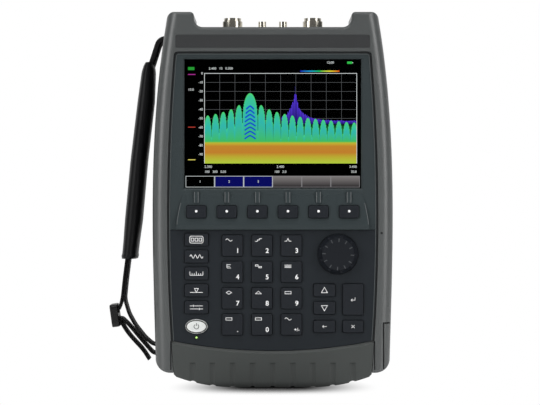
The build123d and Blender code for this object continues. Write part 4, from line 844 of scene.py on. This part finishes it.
class ANALYZER_OT_screen(bpy.types.Operator):
    """Lit picture behind the window: a plot of a pulse's spectrum with plain numbers and soft labels"""

    bl_idname = "analyzer.screen"
    bl_label = "Screen"

    layer_step = 0.03 * MM
    ink_thickness = 0.02 * MM
    plot_left, plot_right = -53.3 * MM, 65.7 * MM
    plot_low, plot_high = 174.3 * MM, 244.7 * MM
    divisions = 10
    lobe_x, lobe_top, lobe_null = -17.65 * MM, 229.2 * MM, 6.03 * MM
    peak_x, peak_rise = 17.65 * MM, 13.4 * MM
    skirt_top, skirt_rise, skirt_reach = 208.0 * MM, 15.0 * MM, 11.0 * MM
    skirt_fall, peak_fall = 7.0 * MM, 1.6 * MM
    noise_top, glow_top = 191.2 * MM, 205.0 * MM
    chevrons, chevron_pitch, chevron_drop = 8, 3.3 * MM, 2.6 * MM
    band_shades = (
        (0.0, (0.7, 0.8, 0.25)), (0.32, (0.74, 0.66, 0.2)), (0.5, (0.76, 0.5, 0.18)),
        (0.8, (0.76, 0.52, 0.18)), (0.92, (0.78, 0.68, 0.2)), (1.0, (0.5, 0.76, 0.28)),
    )
    columns = 298
    label_low, label_high, label_left, label_pitch = 155.6 * MM, 164.6 * MM, -68.1 * MM, 22.7 * MM
    number_height = 1.9 * MM
    # Small blocks over and beside the plot: left, low, right and high in millimetres, and the ink
    blocks = (
        (-66.2, 247.3, -61.2, 249.7, (0.15, 0.6, 0.2)),
        (58.2, 252.2, 62.2, 254.0, (0.2, 0.75, 0.3)),
        (62.3, 252.7, 62.8, 253.5, (0.85, 0.87, 0.87)),
        (-66.2, 243.6, -60.4, 244.2, (0.7, 0.2, 0.6)),
        (-66.2, 202.4, -60.4, 203.0, (0.75, 0.25, 0.2)),
        (-66.2, 176.9, -60.4, 177.5, (0.9, 0.85, 0.4)),
    )

    def lobe_height(self, x):
        """Top of the pulse's spectrum at x, ten decibels to a division."""
        turn = math.pi * (x - self.lobe_x) / self.lobe_null
        level = 1.0 if abs(turn) < 1e-6 else abs(math.sin(turn) / turn)
        decibels = 20 * math.log10(max(level, 1e-4))
        return self.lobe_top + decibels / 10 * (self.plot_high - self.plot_low) / self.divisions

    def peak_height(self, x):
        """Top of the narrow signal and its skirts at x."""
        away = abs(x - self.peak_x)
        skirt, peak = math.exp(-away / self.skirt_fall), math.exp(-away / self.peak_fall)
        return self.skirt_top + self.skirt_rise * skirt + self.peak_rise * peak

    def grid(self, drawing):
        """Grid lines and the white frame of the plot."""
        wide = (self.plot_right - self.plot_left) / self.divisions
        tall = (self.plot_high - self.plot_low) / self.divisions
        thin, grid_ink = 0.2 * MM, (0.38, 0.39, 0.4)
        for index in range(1, self.divisions):
            x, z = self.plot_left + index * wide, self.plot_low + index * tall
            drawing.stroke([(x, self.plot_low), (x, self.plot_high)], thin, grid_ink, layer=1)
            drawing.stroke([(self.plot_left, z), (self.plot_right, z)], thin, grid_ink, layer=2)
        drawing.stroke(
            [(self.plot_left, self.plot_low), (self.plot_left, self.plot_high),
             (self.plot_right, self.plot_high), (self.plot_right, self.plot_low)],
            0.35 * MM, (0.9, 0.92, 0.92), layer=8,
        )

    def plot(self, drawing):
        """Narrow signal, lobes and noise band."""
        step = (self.plot_right - self.plot_left) / self.columns
        draws = random.Random(7)
        violet, night = (0.36, 0.24, 0.9), (0.1, 0.07, 0.35)
        deep, teal, green, leaf = (0.26, 0.74, 0.38), (0.2, 0.72, 0.68), (0.24, 0.78, 0.58), (0.32, 0.86, 0.42)
        glow = (self.plot_left, self.noise_top, self.plot_right, self.glow_top)
        drawing.bar(*glow, deep, 3, (0.0, 0.06, 0.03))
        for index in range(self.columns):
            left = self.plot_left + index * step
            right, x = left + step, left + step / 2
            if x > self.peak_x - self.skirt_reach:
                signal = self.glow_top + (self.peak_height(x) - self.glow_top) * (0.8 + 0.2 * draws.random())
                drawing.bar(left, self.glow_top, right, signal, night, 4, violet if index % 3 else night)
            lobe = self.lobe_height(x)
            if lobe > self.noise_top + 2 * MM:
                middle = self.noise_top + 0.55 * (lobe - self.noise_top)
                edge = max(lobe - 2 * MM, middle)
                drawing.bar(left, self.noise_top, right, middle, deep, 5, teal)
                drawing.bar(left, middle, right, edge, teal, 5, green)
                drawing.bar(left, edge, right, lobe, green, 5, leaf)
        sides = [k / 6 - 1 for k in range(13)]
        for index in range(self.chevrons):
            low = self.lobe_top - 10 * MM - index * self.chevron_pitch
            half = self.lobe_null * min(0.5 + 0.06 * index, 0.72)
            arc = [(self.lobe_x + half * side, low - self.chevron_drop * abs(side) ** 1.3) for side in sides]
            drawing.stroke(arc, 1.25 * MM, (0.1, 0.33, 0.78), layer=6)
        band = self.noise_top - self.plot_low
        for (low, one), (high, two) in zip(self.band_shades, self.band_shades[1:]):
            foot, head = self.plot_low + low * band, self.plot_low + high * band
            drawing.bar(self.plot_left, foot, self.plot_right, head, one, 7, two)

    def labels(self, drawing):
        """Row of six soft labels over the softkeys: one picked, two ready, three empty."""
        black, blue, grey, sheen = (0.0, 0.0, 0.0), (0.04, 0.05, 0.36), (0.13, 0.12, 0.13), (0.5, 0.48, 0.48)
        white, dull = (0.85, 0.87, 0.87), (0.55, 0.54, 0.55)
        picked, ready, empty = (black, None, white), (blue, None, white), (grey, sheen, dull)
        inset = 0.25 * MM
        for index, (ink, top_ink, line) in enumerate((picked, ready, ready, empty, empty, empty)):
            left = self.label_left + index * self.label_pitch
            right, low, high = left + self.label_pitch, self.label_low, self.label_high
            drawing.bar(left, low, right, high, ink, 1, top_ink)
            corners = [(left + inset, low + inset), (right - inset, low + inset),
                       (right - inset, high - inset), (left + inset, high - inset)]
            drawing.stroke(corners, 0.3 * MM, line, closed=True, layer=2)

    def marks(self, drawing):
        """Status bar over the plot: colour bar, badge and battery sign."""
        shades = [(0.1, 0.1, 0.7), (0.1, 0.6, 0.8), (0.1, 0.75, 0.3), (0.9, 0.85, 0.2), (0.9, 0.3, 0.1)]
        wide = 30.6 * MM / (len(shades) - 1)
        for index in range(len(shades) - 1):
            left = 21.55 * MM + index * wide
            right, low, high = left + wide, 245.9 * MM, 247 * MM
            corners = [(left, low), (right, low), (right, high), (left, high)]
            one, two = shades[index], shades[index + 1]
            drawing.fill(corners, one, 1, [one, two, two, one])
        for *edges, ink in self.blocks:
            drawing.bar(*(edge * MM for edge in edges), ink, 1)

    def numbers(self, place, material):
        """Plain numbers beside, over and under the plot."""
        tall = (self.plot_high - self.plot_low) / self.divisions
        beside = self.plot_left - 1.2 * MM
        words = [(str(-10 * k), beside, self.plot_high - k * tall, "RIGHT") for k in range(self.divisions)]
        words += [
            ("2.400   10   0.300", -50 * MM, 248.5 * MM, "LEFT"),
            ("12:00", 42 * MM, 253.1 * MM, "LEFT"),
            ("2.350", self.plot_left, 171.7 * MM, "LEFT"),
            ("2.400", 6 * MM, 171.7 * MM, "CENTER"),
            ("2.450", self.plot_right, 171.7 * MM, "RIGHT"),
            ("100   300   0.05", self.plot_left, 167.8 * MM, "LEFT"),
            ("20.0", self.plot_right, 167.8 * MM, "RIGHT"),
            ("10.0", -66.2 * MM, 232 * MM, "LEFT"),
            ("100   2.0", 6 * MM, 167.8 * MM, "CENTER"),
        ]
        for index in range(3):
            middle = self.label_left + (index + 0.5) * self.label_pitch
            words.append((str(index + 1), middle, (self.label_low + self.label_high) / 2, "CENTER"))
        for index, (word, x, z, align) in enumerate(words):
            spot = place @ Matrix.Translation((x, z, 2 * self.layer_step))
            name = f"screen_number_{index}"
            text = lettering(name, word, self.number_height, spot, material, align, self.ink_thickness)
            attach(text, "case")

    def execute(self, context):
        panel_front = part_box("display_panel")[0][1]
        place = facing((0, panel_front - self.layer_step, 0), (0, -1, 0))
        drawing = Drawing(self.ink_thickness, self.layer_step)
        self.grid(drawing)
        self.plot(drawing)
        self.labels(drawing)
        self.marks(drawing)
        picture = drawing.piece("screen_picture", place, glowing("Screen light"))
        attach(picture, "case")
        dark, pale = linear((0.0, 0.0, 0.0)), linear((0.86, 0.88, 0.88))
        glow = {"Base Color": dark, "Emission Color": pale, "Emission Strength": 1.0}
        self.numbers(place, plain("Screen numbers", glow))
        return {"FINISHED"}


class ANALYZER_OT_strap(bpy.types.Operator):
    """Hand strap: padded sleeve, upper and lower webbing, and the slider's finish"""

    bl_idname = "analyzer.strap"
    bl_label = "Hand strap"

    ring_points = 64
    sleeve_rings = 72
    seam_half_angle = 0.10
    sleeve_thickness, webbing_width = 14.0 * MM, 22.0 * MM
    across_power, out_power = 0.62, 0.75
    end_share, end_rings = 0.82, 1.6
    slider_grid, slider_softness, slider_passes = 0.45 * MM, 0.5, 14
    lower_bend, tail_bend, link_bend, upper_bend = 3.4 * MM, 6.0 * MM, 4.0 * MM, 8.0 * MM
    loop_gap, upper_layers = 0.6 * MM, 2.6
    upper_lead, upper_foot = 4.4 * MM, (0.25, 0.12)
    sleeve_shares = (
        (0.079, 0.195, 0.53), (0.109, 0.235, 0.76), (0.204, 0.335, 0.93), (0.397, 0.61, 0.95),
        (0.591, 0.825, 0.97), (0.66, 0.915, 0.88), (0.702, 0.968, 0.86), (0.717, 0.985, 1.05),
    )
    run_shares = ((0.985, 0.71), (1.1, 0.785), (1.18, 0.851), (1.015, 0.897), (0.76, 0.9353), (0.355, 0.9773))
    return_shares = ((0.56, 0.9785), (1.02, 0.933), (1.3, 0.9115), (1.5, 0.9135))
    tail_shares = ((1.5, 0.9222), (1.33, 0.9235), (1.1, 0.956), (0.825, 0.983), (0.45, 1.0155), (0.2, 1.048))
    link_shares = ((1.085, 0.71), (1.2, 0.785), (1.275, 0.845), (1.34, 0.868), (1.43, 0.886), (1.52, 0.889))
    case_side, reach = 94.0 * MM, 20.0 * MM
    top_z, drop = 273.5 * MM, 242.8 * MM
    slot_high_z, slot_low_z = 30.7 * MM, 23.7 * MM

    def point(self, out_share, drop_share):
        """Place on the strap in front view."""
        return Vector((-self.case_side - out_share * self.reach, self.top_z - drop_share * self.drop))

    def rounded(self, points, bend):
        """Route through the points with its corners rounded off."""
        route = [points[0]]
        for before, corner, after in zip(points, points[1:], points[2:]):
            cut = min(bend, (before - corner).length / 2, (after - corner).length / 2)
            start = corner + (before - corner).normalized() * cut
            end = corner + (after - corner).normalized() * cut
            for step in range(7):
                share = step / 6
                route.append(start.lerp(corner, share).lerp(corner.lerp(end, share), share))
        route.append(points[-1])
        apart = [one for one, before in zip(route[1:], route) if (one - before).length > 1e-6]
        return route[:1] + apart

    def band(self, name, routes, thickness, middle_y, material):
        """Flat webbing along each route, with a thin rounded selvedge on both edges."""
        half, edge = self.webbing_width / 2, 0.32 * thickness
        profile = [
            (-0.5 * thickness, -half + edge), (-0.5 * thickness, half - edge), (-0.22 * thickness, half),
            (0.22 * thickness, half), (0.5 * thickness, half - edge), (0.5 * thickness, -half + edge),
            (0.22 * thickness, -half), (-0.22 * thickness, -half),
        ]
        vertices, faces = [], []
        for route in routes:
            start = len(vertices)
            for index, point in enumerate(route):
                ahead = route[min(index + 1, len(route) - 1)] - route[max(index - 1, 0)]
                side = Vector((-ahead.y, ahead.x)).normalized()
                for out, across in profile:
                    place = point + out * side
                    vertices.append((place.x, middle_y + across, place.y))
            faces += tube(start, len(route), len(profile))
        return mesh_object(name, vertices, faces, material)

    def sleeve_row(self, share):
        """Smooth run through the sleeve's rows: drop, reach and thickness at a share of its length."""
        rows = self.sleeve_shares
        drop = rows[0][0] + share * (rows[-1][0] - rows[0][0])
        place = next(k for k in range(len(rows) - 1) if drop <= rows[k + 1][0] + 1e-9)
        one, two = rows[place], rows[place + 1]
        between = (drop - one[0]) / (two[0] - one[0])
        return drop, one[1] + between * (two[1] - one[1]), one[2] + between * (two[2] - one[2])

    def sleeve(self, material):
        """Padded sleeve: full in the middle, with a sewn ridge down both long edges and soft ends."""
        low, high = (Vector(corner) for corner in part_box("strap_sleeve"))
        middle_y, half_wide = (low.y + high.y) / 2, (high.y - low.y) / 2
        vertices = []
        for ring in range(self.sleeve_rings + 1):
            share = ring / self.sleeve_rings
            drop, out, thickness = self.sleeve_row(share)
            centre = self.point(out, drop)
            from_end = min(share, 1 - share) * self.sleeve_rings
            rounding = math.sqrt(1 - (1 - min(from_end / self.end_rings, 1.0)) ** 2)
            soft = self.end_share + (1 - self.end_share) * rounding
            half_thick = thickness * self.sleeve_thickness / 2 * soft
            for step in range(self.ring_points):
                turn = 2 * math.pi * step / self.ring_points
                across, round_out = math.sin(turn), math.cos(turn)
                y = math.copysign(abs(across) ** self.across_power, across) * half_wide * (0.94 + 0.06 * soft)
                x = math.copysign(abs(round_out) ** self.out_power, round_out) * half_thick
                seam = math.exp(-((abs(abs(turn - math.pi) - math.pi / 2)) / self.seam_half_angle) ** 2)
                y += math.copysign(seam * sizes().seam * 0.5, across)
                vertices.append((centre.x + x, middle_y + y, centre.y))
        faces = [face[::-1] for face in tube(0, self.sleeve_rings + 1, self.ring_points)]
        return mesh_object("strap_sleeve_pad", vertices, faces, material, smooth=True)

    def slider(self, material):
        """Ladder slider with the soft edges of a moulded piece."""
        mesh = frame["nodes"]["strap_slider"].data.copy()
        mesh.materials.clear()
        mesh.materials.append(material)
        piece = placed("strap_slider_moulded", mesh)
        grid = piece.modifiers.new("Grid", "REMESH")
        grid.mode, grid.voxel_size, grid.use_smooth_shade = "VOXEL", self.slider_grid, True
        soft = piece.modifiers.new("Soft edges", "SMOOTH")
        soft.factor, soft.iterations = self.slider_softness, self.slider_passes
        return piece

    def execute(self, context):
        ink, size = colors(), sizes()
        webbing = woven("Strap webbing", ink.webbing, 180.0)
        pad = grained("Sleeve skin", ink.sleeve, 0.42, scale=260, variation=0.4, bump=0.3, gloss=0.15)
        low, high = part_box("strap_lower")
        middle_y = (low[1] + high[1]) / 2
        loop_x, lead_x = high[0] - size.webbing_thickness / 2, -self.case_side - self.loop_gap
        rows = (self.run_shares, self.return_shares, self.tail_shares, self.link_shares)
        run, back, tail, link = ([self.point(*shares) for shares in row] for row in rows)
        high_z, low_z = self.slot_high_z, self.slot_low_z
        corners = ((lead_x, high_z), (loop_x, high_z), (loop_x, low_z), (lead_x, low_z))
        loop = [Vector(corner) for corner in corners]
        bends = ((run + loop + back, self.lower_bend), (tail, self.tail_bend), (link, self.link_bend))
        routes = [self.rounded(points, bend) for points, bend in bends]
        lower = self.band("strap_lower_webbing", routes, size.webbing_thickness, middle_y, webbing)
        low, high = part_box("strap_upper")
        thickness = self.upper_layers * size.webbing_thickness
        start = Vector((high[0], self.top_z))
        bend = Vector((-self.case_side + self.upper_lead, self.top_z))
        route = self.rounded([start, bend, self.point(*self.upper_foot)], self.upper_bend)
        upper = self.band("strap_upper_webbing", [route], thickness, middle_y, webbing)
        sleeve = self.sleeve(pad)
        slider = self.slider(grained("Slider plastic", (0.07, 0.07, 0.075), 0.4, bump=0.02))
        for piece, node, slot in (
            (slider, "strap_slider", "dark_plastic"),
            (lower, "strap_lower", "strap_webbing"),
            (upper, "strap_upper", "strap_webbing"),
            (sleeve, "strap_sleeve", "strap_pad"),
        ):
            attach(piece, "case")
            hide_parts(node)
        return {"FINISHED"}


OPERATORS = (
    ANALYZER_OT_case,
    ANALYZER_OT_panels,
    ANALYZER_OT_inside,
    ANALYZER_OT_dial,
    ANALYZER_OT_connectors,
    ANALYZER_OT_keys,
    ANALYZER_OT_screen,
    ANALYZER_OT_strap,
    ANALYZER_OT_stage,
)


class ANALYZER_PT_build(bpy.types.Panel):
    """Lists the analyzer's build steps"""

    bl_idname = "ANALYZER_PT_build"
    bl_label = "Handheld microwave analyzer"
    bl_space_type = "VIEW_3D"
    bl_region_type = "UI"
    bl_category = "Analyzer"

    def draw(self, context):
        for operator in OPERATORS:
            self.layout.operator(operator.bl_idname)
        for setting in SETTINGS:
            group, box = getattr(context.scene, setting), self.layout.box()
            for name in group.__annotations__:
                box.prop(group, name)


SETTINGS = {
    "analyzer_colors": AnalyzerColors,
    "analyzer_sizes": AnalyzerSizes,
    "analyzer_stage": AnalyzerStage,
}


def register():
    """Adds the settings, operators and panel to Blender."""
    for name, group in SETTINGS.items():
        bpy.utils.register_class(group)
        setattr(bpy.types.Scene, name, PointerProperty(type=group))
    for operator in OPERATORS:
        bpy.utils.register_class(operator)
    bpy.utils.register_class(ANALYZER_PT_build)


def unregister():
    """Takes them out again."""
    bpy.utils.unregister_class(ANALYZER_PT_build)
    for operator in reversed(OPERATORS):
        bpy.utils.unregister_class(operator)
    for name, group in SETTINGS.items():
        delattr(bpy.types.Scene, name)
        bpy.utils.unregister_class(group)


def main():
    """Runs every build step."""
    register()
    for operator in OPERATORS:
        group, step = operator.bl_idname.split(".")
        getattr(getattr(bpy.ops, group), step)()


if __name__ == "__main__":
    main()
